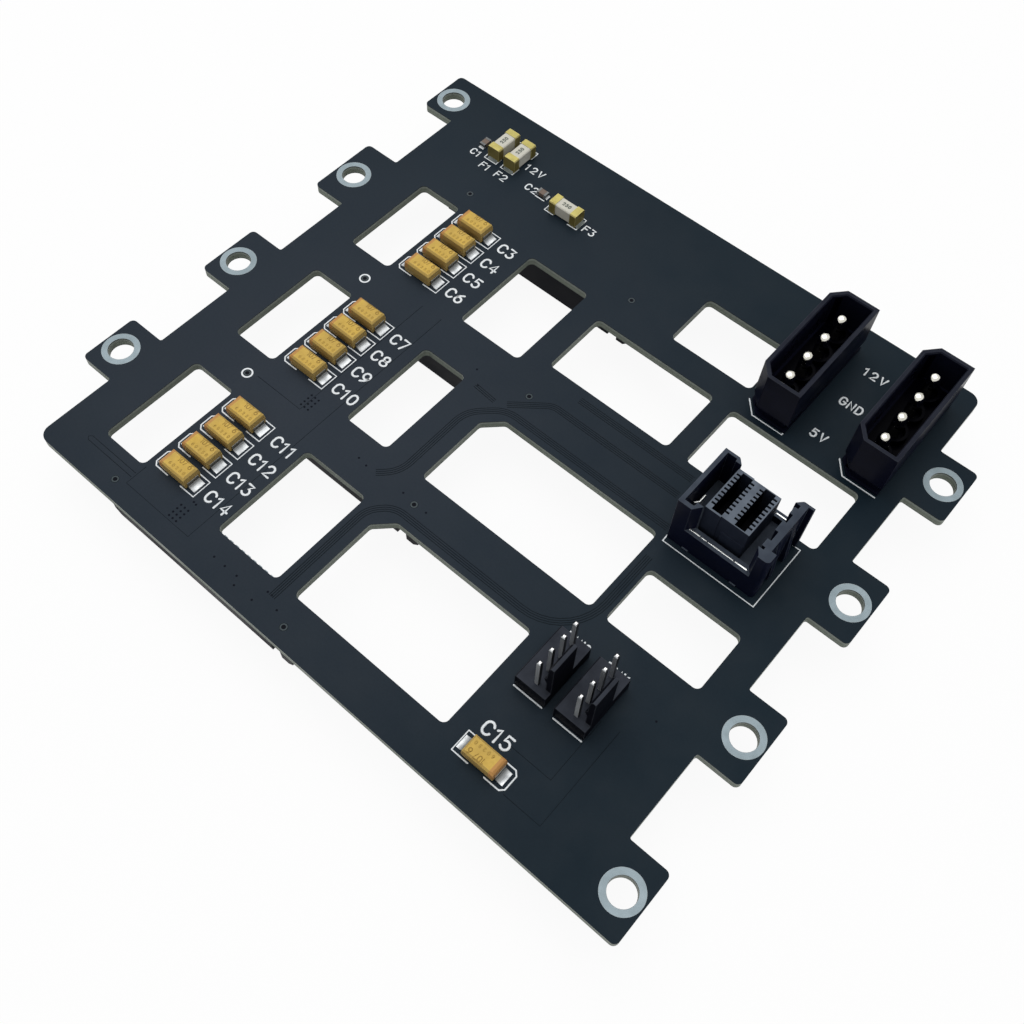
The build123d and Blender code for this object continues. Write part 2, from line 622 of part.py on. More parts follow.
def save_capacitors():
    """Twelve capacitors in three columns under the upper rows, and one turned round by itself."""
    places = []
    for row in ROWS[:BAYS - 1]:
        for step in range(CAPS_PER_ROW):
            places.append((CAP_X, row - CAP_BELOW_ROW - step * CAP_PITCH, 0))
    places.append((*CAP_15, 180))
    for number, (x, y, turn) in enumerate(places, start=3):
        save(f"capacitor_c{number}_body", placed(capacitor_body(), x, y, BOARD_T, turn))
        save(f"capacitor_c{number}_leads", placed(capacitor_leads(), x, y, BOARD_T, turn))


def save_fuses_and_chips():
    """Three square fuses and two small ceramic capacitors."""
    for number, (x, y, turn) in enumerate(FUSE_PLACES, start=1):
        core, cups = capped_block(FUSE_L, FUSE_W, FUSE_W, FUSE_CAP_L, FUSE_CAP_T, FUSE_EDGE)
        core = chamfer(core.edges().filter_by(Axis.X), FUSE_EDGE)
        save(f"fuse_f{number}_body", placed(core, x, y, BOARD_T, turn))
        save(f"fuse_f{number}_caps", placed(cups, x, y, BOARD_T, turn))
    for number, (x, y, turn) in enumerate(CHIP_PLACES, start=1):
        core, cups = capped_block(CHIP_L, CHIP_W, CHIP_H, CHIP_END_L, CHIP_END_T, 0)
        save(f"chip_c{number}_body", placed(core, x, y, BOARD_T, turn))
        save(f"chip_c{number}_ends", placed(cups, x, y, BOARD_T, turn))


def save_inlets():
    """Two power inlets side by side."""
    for number, ((x, y), spots) in enumerate(zip(INLET_PLACES, inlet_pin_spots()), start=1):
        save(f"power_inlet_{number}_housing", placed(inlet_housing(), x, y, BOARD_T))
        pins = [placed(inlet_pin(), px, py, BOARD_T) for px, py in spots]
        save(f"power_inlet_{number}_pins", pins)


def save_fan_headers():
    """Two fan headers side by side."""
    for number, ((x, y), spots) in enumerate(zip(FAN_PLACES, fan_pin_spots()), start=1):
        save(f"fan_header_{number}_base", placed(fan_base(), x, y, BOARD_T))
        pins = [placed(fan_pin(), px, py, BOARD_T) for px, py in spots]
        save(f"fan_header_{number}_pins", pins)


def save_data_connector():
    """Shroud, contact carrier, its blades, and the metal strips with the spring tab."""
    save("data_connector_shroud", placed(data_shroud(), 0, 0, BOARD_T))
    save("data_connector_core", placed(data_core(), 0, 0, BOARD_T))
    save("data_connector_contacts", placed(data_contacts(), 0, 0, BOARD_T))
    save("data_connector_strips", placed([*shell_strips(), spring_tab()], 0, 0, BOARD_T))


def save_sockets():
    """One drive socket on the underside of each bay."""
    for number, row in enumerate(ROWS, start=1):
        save(f"drive_socket_{number}_housing", placed(socket_housing(), SOCKET_MID_X, row, 0))
        save(f"drive_socket_{number}_contacts", placed(socket_contacts(), SOCKET_MID_X, row, 0))


os.makedirs("parts", exist_ok=True)
save("board", board())
save_capacitors()
save_fuses_and_chips()
save_inlets()
save_fan_headers()
save_data_connector()
save_sockets()
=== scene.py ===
import json
from math import cos, pi, radians, sin, tan

import bmesh
import bpy
from mathutils import Matrix, Vector


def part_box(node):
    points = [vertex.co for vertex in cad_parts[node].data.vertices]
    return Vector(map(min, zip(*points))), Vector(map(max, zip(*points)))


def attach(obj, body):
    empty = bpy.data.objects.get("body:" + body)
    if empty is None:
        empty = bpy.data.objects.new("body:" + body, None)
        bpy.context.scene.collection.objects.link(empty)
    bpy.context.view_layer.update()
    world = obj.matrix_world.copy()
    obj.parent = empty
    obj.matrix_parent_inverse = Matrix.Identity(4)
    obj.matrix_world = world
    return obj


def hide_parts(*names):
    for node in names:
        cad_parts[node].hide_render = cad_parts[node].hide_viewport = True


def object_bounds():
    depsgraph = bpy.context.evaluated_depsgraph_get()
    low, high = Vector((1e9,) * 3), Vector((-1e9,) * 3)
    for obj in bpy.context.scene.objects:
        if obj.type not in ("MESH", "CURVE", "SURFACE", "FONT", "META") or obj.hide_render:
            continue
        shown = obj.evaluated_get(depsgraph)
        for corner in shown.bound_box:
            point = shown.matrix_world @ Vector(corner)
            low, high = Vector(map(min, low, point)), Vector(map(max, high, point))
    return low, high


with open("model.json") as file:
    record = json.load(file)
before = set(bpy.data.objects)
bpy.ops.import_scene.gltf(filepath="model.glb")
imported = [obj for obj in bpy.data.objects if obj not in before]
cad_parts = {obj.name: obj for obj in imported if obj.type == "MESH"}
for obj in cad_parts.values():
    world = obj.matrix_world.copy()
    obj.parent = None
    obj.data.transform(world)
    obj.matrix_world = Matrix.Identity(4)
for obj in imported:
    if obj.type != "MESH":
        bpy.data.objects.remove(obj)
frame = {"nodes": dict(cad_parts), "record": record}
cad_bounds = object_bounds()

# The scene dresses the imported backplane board. Places below are in millimetres in the board's
# own frame: X along the drive sockets, Y across the bays, Z up from the underside.
MM = 0.001


def edges_of(node):
    """West, south, low, east, north and top edge of a CAD node, in millimetres."""
    low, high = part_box(node)
    return [value / MM for value in (*low, *high)]


def top_of(node):
    """Height of a CAD node's top."""
    return edges_of(node)[5]


def middle_of(node):
    """X and Y of a CAD node's middle."""
    west, south, _, east, north, _ = edges_of(node)
    return (west + east) / 2, (south + north) / 2


BOARD_TOP = top_of("board")
FLOOR_Z = cad_bounds[0][2] / MM

# Camera
LENS = 39.246
CAMERA_PLACE = (62.910, -81.759, 150.837)
CAMERA_AIM = (10.546, -14.536, BOARD_TOP)
CAMERA_ROLL = 3.337

# Printed ink and copper
INK_LINE = 0.27
INK_PROUD = 0.03
COPPER_PROUD = 0.02
GAP_WIDE = 0.13          # the bare gaps between masked traces, which look darker
LABEL_HIGH = 2.42
LABEL_PEN = 0.42
LABEL_NUDGE = 0.1        # a capacitor's label stands this far north of its middle line
GLYPH_WIDE = 0.72        # of the letter's height
GLYPH_STEP = 0.77        # from letter to letter, of the letter's height
SLIM_CELL = 0.76         # a 1's share of the usual step

# Plated rings
MOUNT_HOLE_R = 2.15
MOUNT_PAD_R = 3.2
PAD_GAP = 0.02           # between a hole's wall and its pad
PEG_SPAN = 37.55
PEG_LINE = 1.55          # from a drive socket's south face to its pegs
PEG_SHIFT = 0.4          # the middle of the pegs lies this far west of the socket's
PEG_RING = (0.36, 0.58)
PEG_BARE_RING = (0.72, 1.0)
VIA_R = 0.2
VIA_DRILL_R = 0.13
VIA_SHADE_TOP = BOARD_TOP + 0.004


def paint(red, green, blue):
    """A colour given as it looks on screen, from 0 to 255, as the shader wants it."""
    return (*[((level / 255 + 0.055) / 1.055) ** 2.4 if level > 10 else level / 255 / 12.92
              for level in (red, green, blue)], 1)


# Shared effects

def effect(name, inputs, outputs):
    """An empty node group with named sockets; each input is (name, kind, value)."""
    tree = bpy.data.node_groups.new(name, "ShaderNodeTree")
    for label, kind, value in inputs:
        socket = tree.interface.new_socket(label, in_out="INPUT", socket_type="NodeSocket" + kind)
        socket.default_value = value
    for label, kind in outputs:
        tree.interface.new_socket(label, in_out="OUTPUT", socket_type="NodeSocket" + kind)
    return tree, tree.nodes.new("NodeGroupInput"), tree.nodes.new("NodeGroupOutput")


def add(tree, kind, settings=None, **values):
    """A new node; settings are its own options, values go to its sockets by name or number."""
    node = tree.nodes.new("ShaderNode" + kind)
    for option, value in (settings or {}).items():
        setattr(node, option, value)
    for label, value in values.items():
        key = int(label[1:]) if label[0] == "n" and label[1:].isdigit() else label.replace("_", " ")
        if isinstance(value, bpy.types.NodeSocket):
            tree.links.new(value, node.inputs[key])
        else:
            node.inputs[key].default_value = value
    return node


def maths(tree, how, first, second, third=None):
    """Output of one Math node."""
    values = {"n0": first, "n1": second}
    if third is not None:
        values["n2"] = third
    return add(tree, "Math", {"operation": how}, **values).outputs[0]


def place_in(tree):
    """The shaded spot's place in the board's own frame."""
    return add(tree, "TexCoord").outputs["Object"]


def spot_in(tree):
    """X, Y and Z of that place."""
    return add(tree, "SeparateXYZ", Vector=place_in(tree)).outputs


def facing_in(tree):
    """X, Y and Z of the way the face looks."""
    return add(tree, "SeparateXYZ", Vector=add(tree, "NewGeometry").outputs["Normal"]).outputs


def use(tree, group, **values):
    """Places a shared effect in a material, with its own values."""
    return add(tree, "Group", {"node_tree": group}, **values).outputs


def over(tree, mask, under, top):
    """One colour laid over another by a mask."""
    return add(tree, "Mix", {"data_type": "RGBA"}, Factor=mask, n6=under, n7=top).outputs[2]


def darkened(tree, share, colour, level):
    """A colour multiplied by a level, by a share."""
    settings = {"data_type": "RGBA", "blend_type": "MULTIPLY"}
    return add(tree, "Mix", settings, Factor=share, n6=colour, n7=level).outputs[2]


def cloudy_tint():
    """Two shades that drift into each other over the surface, with fine specks."""
    tree, given, result = effect(
        "cloudy tint",
        (("Shade", "Color", (0.5, 0.5, 0.5, 1)), ("Other Shade", "Color", (0.6, 0.6, 0.6, 1)),
         ("Cloud Scale", "Float", 60.0), ("Speck Scale", "Float", 2500.0), ("Speck", "Float", 0.15)),
        (("Color", "Color"),))
    place = place_in(tree)
    cloud = add(tree, "TexNoise", Vector=place, Scale=given.outputs["Cloud Scale"], Detail=3.0)
    spread = add(tree, "MapRange", Value=cloud.outputs[0], From_Min=0.3, From_Max=0.7)
    blend = over(tree, spread.outputs[0], given.outputs["Shade"], given.outputs["Other Shade"])
    speck = add(tree, "TexNoise", Vector=place, Scale=given.outputs["Speck Scale"], Detail=2.0)
    level = maths(tree, "SUBTRACT", speck.outputs[0], 0.5)
    level = maths(tree, "MULTIPLY_ADD", level, given.outputs["Speck"], 1.0)
    tree.links.new(darkened(tree, 1.0, blend, level), result.inputs["Color"])
    return tree


def painted_edge_highlight():
    """Mask of the edges, where a painted highlight lightens a part's corners, broken up a little."""
    tree, given, result = effect(
        "painted edge highlight", (("Reach", "Float", 0.0002),), (("Mask", "Float"), ("Normal", "Vector")))
    place = place_in(tree)
    soft = add(tree, "Bevel", {"samples": 6}, Radius=given.outputs["Reach"])
    flat = add(tree, "NewGeometry").outputs["Normal"]
    agree = add(tree, "VectorMath", {"operation": "DOT_PRODUCT"}, n0=soft.outputs[0], n1=flat)
    turned = add(tree, "MapRange", Value=agree.outputs["Value"], From_Min=0.995, From_Max=0.85)
    patchy = add(tree, "TexNoise", Vector=place, Scale=900.0, Detail=2.0)
    kept = add(tree, "MapRange", Value=patchy.outputs[0], From_Min=0.25, From_Max=0.6, To_Min=0.55)
    mask = maths(tree, "MULTIPLY", turned.outputs[0], kept.outputs[0])
    tree.links.new(mask, result.inputs["Mask"])
    tree.links.new(soft.outputs[0], result.inputs["Normal"])
    return tree


def fine_grain():
    """Height of a moulded or printed surface's fine grain, and a smudge mask for its gloss."""
    tree, given, result = effect(
        "fine grain", (("Scale", "Float", 3000.0),), (("Height", "Float"), ("Smudge", "Float")))
    place = place_in(tree)
    grain = add(tree, "TexNoise", Vector=place, Scale=given.outputs["Scale"], Detail=3.0)
    smudge = add(tree, "TexNoise", Vector=place, Scale=120.0, Detail=4.0, Roughness=0.6)
    wide = add(tree, "MapRange", Value=smudge.outputs[0], From_Min=0.35, From_Max=0.65)
    tree.links.new(grain.outputs[0], result.inputs["Height"])
    tree.links.new(wide.outputs[0], result.inputs["Smudge"])
    return tree


def top_dust_and_light():
    """Mask of the faces that look up, broken up a little: where dust lies and a painted sheen lightens the
    top, and outside which painted shade darkens upright faces.
    """
    tree, given, result = effect("top faces dusted and lit", (("Amount", "Float", 0.5),), (("Mask", "Float"),))
    place = place_in(tree)
    level = add(tree, "MapRange", Value=facing_in(tree)[2], From_Min=0.6, From_Max=0.95)
    patchy = add(tree, "TexNoise", Vector=place, Scale=400.0, Detail=3.0)
    kept = add(tree, "MapRange", Value=patchy.outputs[0], From_Min=0.3, From_Max=0.7, To_Min=0.6)
    mask = maths(tree, "MULTIPLY", level.outputs[0], kept.outputs[0])
    tree.links.new(maths(tree, "MULTIPLY", mask, given.outputs["Amount"]), result.inputs["Mask"])
    return tree


def inside_box():
    """Mask of what lies inside a box, given by its middle and half its size."""
    tree, given, result = effect(
        "inside box", (("Middle", "Vector", (0, 0, 0)), ("Half", "Vector", (0.001, 0.001, 0.001))),
        (("Mask", "Float"),))
    place = place_in(tree)
    away = add(tree, "VectorMath", {"operation": "SUBTRACT"}, n0=place, n1=given.outputs["Middle"]).outputs[0]
    away = add(tree, "VectorMath", {"operation": "ABSOLUTE"}, n0=away).outputs[0]
    away = add(tree, "VectorMath", {"operation": "SUBTRACT"}, n0=away, n1=given.outputs["Half"]).outputs[0]
    split = add(tree, "SeparateXYZ", Vector=away)
    most = maths(tree, "MAXIMUM", split.outputs[0], split.outputs[1])
    most = maths(tree, "MAXIMUM", most, split.outputs[2])
    tree.links.new(maths(tree, "LESS_THAN", most, 0.0), result.inputs["Mask"])
    return tree


TINT = cloudy_tint()
BOX = inside_box()
EDGE_HIGHLIGHT = painted_edge_highlight()
GRAIN = fine_grain()
TOP_DUST_AND_LIGHT = top_dust_and_light()


def new_finish(name, metallic=0.0, specular=0.5):
    """A fresh material with its tree and shader."""
    material = bpy.data.materials.new(name)
    material.use_nodes = True
    shader = material.node_tree.nodes["Principled BSDF"]
    shader.inputs["Metallic"].default_value = metallic
    shader.inputs["Specular IOR Level"].default_value = specular
    return material, material.node_tree, shader


def lay(tree, shader, colour, smooth, dull, grain_scale=3000.0, depth=0.00001, normal=None):
    """Lays on the colour, a roughness from smooth to dull in smudges, and a fine bump."""
    tree.links.new(colour, shader.inputs["Base Color"])
    grain = use(tree, GRAIN, Scale=grain_scale)
    level = add(tree, "MapRange", Value=grain["Smudge"], To_Min=smooth, To_Max=dull)
    tree.links.new(level.outputs[0], shader.inputs["Roughness"])
    bump = add(tree, "Bump", Strength=0.5, Distance=depth, Height=grain["Height"])
    if normal is not None:
        tree.links.new(normal, bump.inputs["Normal"])
    tree.links.new(bump.outputs[0], shader.inputs["Normal"])


# Materials

SHEEN_MIDDLE = (-0.03, -0.022, 0.0016)   # in metres; middle of a painted sheen, where the mask is paler
SHEEN_REACH = 0.085                      # and the painted sheen fades over this distance
BAR_FADE = (2.7, 2.9)                   # heights between which the capacitors' bar fades in
# Painted shade, nearly black, inside the wells of the inlets and the data connector's slots
WELL_SHADE = paint(1, 1, 5)

# Colour of a cut edge from the underside, 0, to the top, 1: laminate bands, the pale band near the top a
# painted highlight, darker towards the bottom
EDGE_BANDS_AND_HIGHLIGHT = (
    (0.0, paint(96, 102, 98)), (0.12, paint(132, 140, 130)), (0.36, paint(142, 150, 138)),
    (0.48, paint(126, 133, 122)), (0.6, paint(140, 148, 138)), (0.86, paint(160, 168, 160)),
    (0.95, paint(26, 32, 34)))


def printed_board(name="black solder mask"):
    """Black mask on both faces with a broad painted sheen, and bare glass laminate in bands on every cut
    edge, with a painted highlight near its top.
    """
    material, tree, shader = new_finish(name, specular=0.07)
    mask = use(tree, TINT, Shade=paint(17, 30, 39), Other_Shade=paint(22, 35, 44),
               Cloud_Scale=22.0, Speck=0.2)
    # A broad painted sheen, palest round SHEEN_MIDDLE and fading over SHEEN_REACH
    pale = use(tree, TINT, Shade=paint(43, 50, 59), Other_Shade=paint(47, 54, 63),
               Cloud_Scale=60.0, Speck=0.2)
    place = place_in(tree)
    reach = add(tree, "VectorMath", {"operation": "DISTANCE"}, n0=place, n1=SHEEN_MIDDLE)
    faded = add(tree, "MapRange", Value=reach.outputs["Value"], From_Max=SHEEN_REACH, To_Min=1.0, To_Max=0.0)
    skin = over(tree, faded.outputs[0], mask["Color"], pale["Color"])
    level = add(tree, "MapRange", Value=spot_in(tree)[2], From_Min=0.0, From_Max=BOARD_TOP * MM)
    bands = add(tree, "ValToRGB", Fac=level.outputs[0])
    ramp = bands.color_ramp
    while len(ramp.elements) < len(EDGE_BANDS_AND_HIGHLIGHT):
        ramp.elements.new(0.5)
    for element, (where, colour) in zip(ramp.elements, EDGE_BANDS_AND_HIGHLIGHT):
        element.position = where
        element.color = colour
    flat = maths(tree, "ABSOLUTE", facing_in(tree)[2], 0.0)
    steep = add(tree, "MapRange", Value=flat, From_Min=0.6, From_Max=0.4)
    fibre = add(tree, "TexNoise", Vector=place, Scale=1800.0, Detail=2.0)
    laminate = darkened(tree, 0.35, bands.outputs[0], fibre.outputs[0])
    lay(tree, shader, over(tree, steep.outputs[0], skin, laminate), 0.38, 0.55, grain_scale=4000.0,
        depth=0.000004)
    return material


def masked_copper(name, shade, other):
    """Solder mask over the edge of a copper shape, a shade away from the plain board."""
    material, tree, shader = new_finish(name, specular=0.06)
    mask = use(tree, TINT, Shade=shade, Other_Shade=other, Cloud_Scale=22.0)
    lay(tree, shader, mask["Color"], 0.35, 0.5, depth=0.000004)
    return material


def printed_ink(name, shade, other):
    """Matt printed ink, a little uneven."""
    material, tree, shader = new_finish(name, specular=0.3)
    ink = use(tree, TINT, Shade=shade, Other_Shade=other, Cloud_Scale=500.0, Speck=0.3)
    lay(tree, shader, ink["Color"], 0.5, 0.7)
    return material


def metal(name, shade, other, smooth, dull, speck=0.2, rim=None, depth=0.00001, metallic=1.0,
          side=None, reflection_fade=None):
    """A metal with cloudy tarnish; rim is the colour of a painted highlight on its edges, side of painted
    shade on its upright faces.

    reflection_fade is two heights in millimetres and the colour of the painted dark reflection that the metal
    turns to between them.
    """
    material, tree, shader = new_finish(name, metallic=metallic)
    skin = use(tree, TINT, Shade=shade, Other_Shade=other, Cloud_Scale=700.0, Speck_Scale=5000.0,
               Speck=speck)
    edge = use(tree, EDGE_HIGHLIGHT, Reach=0.00012)
    colour = skin["Color"]
    # Painted shade on the upright faces, then a painted highlight on the edges
    if side is not None:
        colour = over(tree, use(tree, TOP_DUST_AND_LIGHT, Amount=1.0)["Mask"], side, colour)
    colour = over(tree, edge["Mask"], colour, rim or shade)
    # A painted dark reflection between two heights
    if reflection_fade is not None:
        low, high, dark = reflection_fade
        part = add(tree, "MapRange", Value=spot_in(tree)[2], From_Min=low * MM, From_Max=high * MM)
        colour = over(tree, part.outputs[0], colour, dark)
    lay(tree, shader, colour, smooth, dull, grain_scale=2500.0, depth=depth, normal=edge["Normal"])
    return material


def pin_shaft_with_painted_light(name, tip_from, shade, other, tip, south):
    """A shaft painted dark as it looks reflecting dark surroundings, with a painted highlight above a height
    in millimetres and on its south face.
    """
    material, tree, shader = new_finish(name, metallic=0.7)
    skin = use(tree, TINT, Shade=shade, Other_Shade=other, Cloud_Scale=1100.0, Speck_Scale=5000.0,
               Speck=0.3)
    bright = maths(tree, "GREATER_THAN", spot_in(tree)[2], tip_from * MM)
    south_lit = maths(tree, "LESS_THAN", facing_in(tree)[1], -0.6)
    colour = over(tree, maths(tree, "MULTIPLY", south_lit, 0.8), skin["Color"], south)
    lay(tree, shader, over(tree, bright, colour, tip), 0.3, 0.5, grain_scale=2500.0)
    return material


def moulding(name, shade, other, rim, dust, smooth=0.3, dull=0.45, specular=0.3, reach=0.0002,
             dust_and_sheen_amount=0.5, depth=0.000006, highlight_and_dust_from=None, cloud=250.0, wells=()):
    """Moulded plastic: cloudy body colour, painted highlights on its edges, and dust and a painted sheen on
    top faces.

    With highlight_and_dust_from, the edge highlight, dust and sheen start at that height in millimetres. The
    wells are boxes, given by lowest and highest corners in millimetres, inside which shade is painted nearly
    black.
    """
    material, tree, shader = new_finish(name, specular=specular)
    body = use(tree, TINT, Shade=shade, Other_Shade=other, Cloud_Scale=cloud, Speck=0.2)
    edge = use(tree, EDGE_HIGHLIGHT, Reach=reach)
    top_faces = use(tree, TOP_DUST_AND_LIGHT, Amount=dust_and_sheen_amount)
    highlighted, dusty_and_lit = edge["Mask"], top_faces["Mask"]
    if highlight_and_dust_from is not None:
        above = maths(tree, "GREATER_THAN", spot_in(tree)[2], highlight_and_dust_from * MM)
        highlighted = maths(tree, "MULTIPLY", highlighted, above)
        dusty_and_lit = maths(tree, "MULTIPLY", dusty_and_lit, above)
    # Dust and a painted sheen on top faces, then a painted highlight on the edges
    colour = over(tree, dusty_and_lit, body["Color"], dust)
    colour = over(tree, highlighted, colour, rim)
    # Painted shade inside each well
    for low, high in wells:
        low, high = Vector(low) * MM, Vector(high) * MM
        inside = use(tree, BOX, Middle=(low + high) / 2, Half=(high - low) / 2)
        colour = over(tree, inside["Mask"], colour, WELL_SHADE)
    lay(tree, shader, colour, smooth, dull, depth=depth, normal=edge["Normal"])
    return material


def capacitor_resin(name, bar_from, bar_to):
    """Mustard resin with the polarity bar printed across one end, between two X places, with painted shade on
    its upright faces and a painted highlight on its edges.
    """
    material, tree, shader = new_finish(name, specular=0.2)
    body = use(tree, TINT, Shade=paint(220, 184, 88), Other_Shade=paint(208, 171, 74),
               Cloud_Scale=500.0, Speck=0.22)
    edge = use(tree, EDGE_HIGHLIGHT, Reach=0.00015)
    place = place_in(tree)
    wobble = add(tree, "TexNoise", Vector=place, Scale=2500.0, Detail=2.0).outputs[0]
    spot = spot_in(tree)
    east = maths(tree, "MULTIPLY_ADD", wobble, 0.00008, spot[0])
    inside = maths(tree, "MULTIPLY", maths(tree, "GREATER_THAN", east, bar_from * MM),
                   maths(tree, "LESS_THAN", east, bar_to * MM))
    low, full = BAR_FADE
    high = add(tree, "MapRange", Value=spot[2], From_Min=low * MM, From_Max=full * MM)
    bar = maths(tree, "MULTIPLY", inside, high.outputs[0])
    # Painted shade on the upright faces, then a painted highlight on the edges
    up = use(tree, TOP_DUST_AND_LIGHT, Amount=1.0)
    colour = over(tree, up["Mask"], paint(172, 144, 84), body["Color"])
    colour = over(tree, maths(tree, "MULTIPLY", edge["Mask"], 0.8), colour, paint(238, 214, 136))
    colour = over(tree, maths(tree, "MULTIPLY", bar, 0.85), colour, paint(190, 136, 80))
    lay(tree, shader, colour, 0.42, 0.6, normal=edge["Normal"])
    return material


CAPACITOR_WEST = edges_of("capacitor_c3_body")[0]
LONE_EAST = edges_of("capacitor_c15_body")[3]
BAR_WIDE = 0.84
BAR_PAST = 0.5           # the bar also covers the end face
INLET_TOP = top_of("power_inlet_1_housing")
CORE_TOP = top_of("data_connector_core")
FAN_PIN_TOP = top_of("fan_header_1_pins")
FAN_TIP_HIGHLIGHT = 0.08           # depth of the painted highlight on the pin's top end
INLET_WELL = (1.25, 0.6)     # where the painted shade starts, inside the outline and below the top
CORE_WELL = (0.35, 0.35)
WELL_FOOT = 1.0          # how far a well is taken past the node's foot


def well_of(node, inset, depth):
    """Lowest and highest corner of a node's inside where shade is painted, from depth below its top."""
    west, south, low, east, north, top = edges_of(node)
    return (west + inset, south + inset, low - WELL_FOOT), (east - inset, north - inset, top - depth)


MASK = printed_board()
COPPER = masked_copper("masked copper", paint(66, 75, 79), paint(76, 84, 88))
GAP_MASK = masked_copper("gap between traces", paint(12, 20, 26), paint(16, 25, 31))
INK = printed_ink("white silk ink", paint(242, 246, 248), paint(230, 236, 240))
MARK_INK = printed_ink("laser mark", paint(150, 118, 50), paint(166, 132, 58))
FAINT_MARK_INK = printed_ink("faint laser mark", paint(176, 142, 62), paint(186, 152, 70))
FUSE_INK = printed_ink("grey mark", paint(88, 96, 88), paint(104, 110, 102))
# Metals: a rim colour is a painted highlight on the edges, a side colour painted shade on the upright faces
PAD_TIN = metal("levelled tin", paint(146, 161, 168), paint(136, 151, 157), 0.5, 0.7,
                rim=paint(214, 222, 225), metallic=0.3)
# The solder's slope turns darker up against the part: a painted reflection of the part's dark side
SOLDER = metal("solder", paint(214, 217, 218), paint(146, 149, 151), 0.2, 0.45, speck=0.35, depth=0.00003,
               metallic=0.6, reflection_fade=(BOARD_TOP + 0.08, BOARD_TOP + 0.42, paint(104, 106, 106)))
DULL_SOLDER = metal("dull solder", paint(104, 110, 108), paint(64, 72, 70), 0.35, 0.6,
                    rim=paint(176, 182, 180), depth=0.00003, metallic=0.5)
LEAD = metal("tinned lead", paint(142, 142, 136), paint(112, 112, 106), 0.3, 0.5, rim=paint(156, 156, 150),
             metallic=0.6, side=paint(98, 96, 90))
GOLD = metal("gold cap", paint(198, 186, 104), paint(184, 172, 90), 0.3, 0.5, rim=paint(246, 234, 160),
             metallic=0.35, side=paint(128, 116, 60))
PIN_TIN = metal("bright pin", paint(226, 224, 214), paint(190, 188, 178), 0.06, 0.16)
# The header pins' shafts are painted dark, as they look reflecting dark surroundings; their tips and south
# faces carry painted highlights
FAN_TIN = pin_shaft_with_painted_light("header pin", FAN_PIN_TOP - FAN_TIP_HIGHLIGHT, paint(60, 63, 67), paint(24, 27, 31),
                       paint(252, 252, 252), paint(214, 218, 220))
BLADE = metal("spring blade", paint(150, 130, 92), paint(128, 108, 74), 0.3, 0.5)
STRIP = metal("bright strip", paint(238, 240, 238), paint(222, 224, 222), 0.2, 0.35)
RESIN = capacitor_resin("mustard resin", CAPACITOR_WEST - BAR_PAST, CAPACITOR_WEST + BAR_WIDE)
LONE_RESIN = capacitor_resin("mustard resin, turned", LONE_EAST - BAR_WIDE, LONE_EAST + BAR_PAST)
# Mouldings: the third colour is a painted highlight on the edges, the fourth dust and a painted sheen on top
# faces
FUSE_CERAMIC = moulding("fuse ceramic", paint(212, 210, 198), paint(198, 196, 182), paint(226, 224, 214),
                        paint(218, 216, 206), smooth=0.35, dull=0.55, specular=0.2, dust_and_sheen_amount=0.3)
CHIP_CERAMIC = moulding("chip ceramic", paint(112, 94, 82), paint(98, 82, 72), paint(136, 118, 104),
                        paint(124, 106, 94), smooth=0.35, dull=0.5, reach=0.0001)
INLET_BLACK = moulding("inlet plastic", paint(13, 15, 28), paint(18, 20, 35), paint(66, 70, 78),
                       paint(48, 51, 60), smooth=0.25, dull=0.4, specular=0.02, reach=0.00016,
                       dust_and_sheen_amount=0.8, highlight_and_dust_from=INLET_TOP - 0.25,
                       wells=[well_of(f"power_inlet_{number}_housing", *INLET_WELL) for number in (1, 2)])
HEADER_BLACK = moulding("header plastic", paint(7, 8, 14), paint(12, 13, 20), paint(66, 70, 77),
                        paint(64, 68, 77), smooth=0.4, dull=0.6, specular=0.03, dust_and_sheen_amount=0.85, cloud=700.0)
SHROUD_NAVY = moulding("shroud plastic", paint(11, 15, 31), paint(16, 20, 38), paint(84, 92, 103),
                       paint(80, 88, 99), smooth=0.4, dull=0.6, specular=0.03, dust_and_sheen_amount=0.8)
CORE_SLATE = moulding("carrier plastic", paint(32, 37, 50), paint(42, 48, 61), paint(116, 125, 137),
                      paint(112, 121, 133), smooth=0.4, dull=0.6, specular=0.03, reach=0.00014,
                      dust_and_sheen_amount=0.95, highlight_and_dust_from=CORE_TOP - 0.3,
                      wells=[well_of("data_connector_core", *CORE_WELL)])
SOCKET_BLACK = moulding("socket plastic", paint(6, 8, 16), paint(9, 11, 20), paint(40, 43, 50),
                        paint(18, 20, 27), smooth=0.4, dull=0.55, specular=0.04)

FINISH_OF = {
    "board_mask": MASK, "capacitor_resin": RESIN, "tinned_lead": LEAD, "fuse_ceramic": FUSE_CERAMIC,
    "gold_cap": GOLD, "chip_ceramic": CHIP_CERAMIC, "tinned_end": SOLDER, "inlet_plastic": INLET_BLACK,
    "power_pin_metal": PIN_TIN, "header_plastic": HEADER_BLACK, "fan_pin_metal": FAN_TIN,
    "shroud_plastic": SHROUD_NAVY, "core_plastic": CORE_SLATE, "contact_metal": BLADE,
    "strip_metal": STRIP, "socket_plastic": SOCKET_BLACK,
}


def dress_nodes():
    """Gives every CAD node the finish of its material slot."""
    for node, item in frame["nodes"].items():
        for place in item.material_slots:
            finish = FINISH_OF[place.material.name.split(".")[0]]
            place.material = LONE_RESIN if node == "capacitor_c15_body" else finish


# Making pieces

def put(name, data):
    """A new object in the scene."""
    item = bpy.data.objects.new(name, data)
    bpy.context.scene.collection.objects.link(item)
    return item


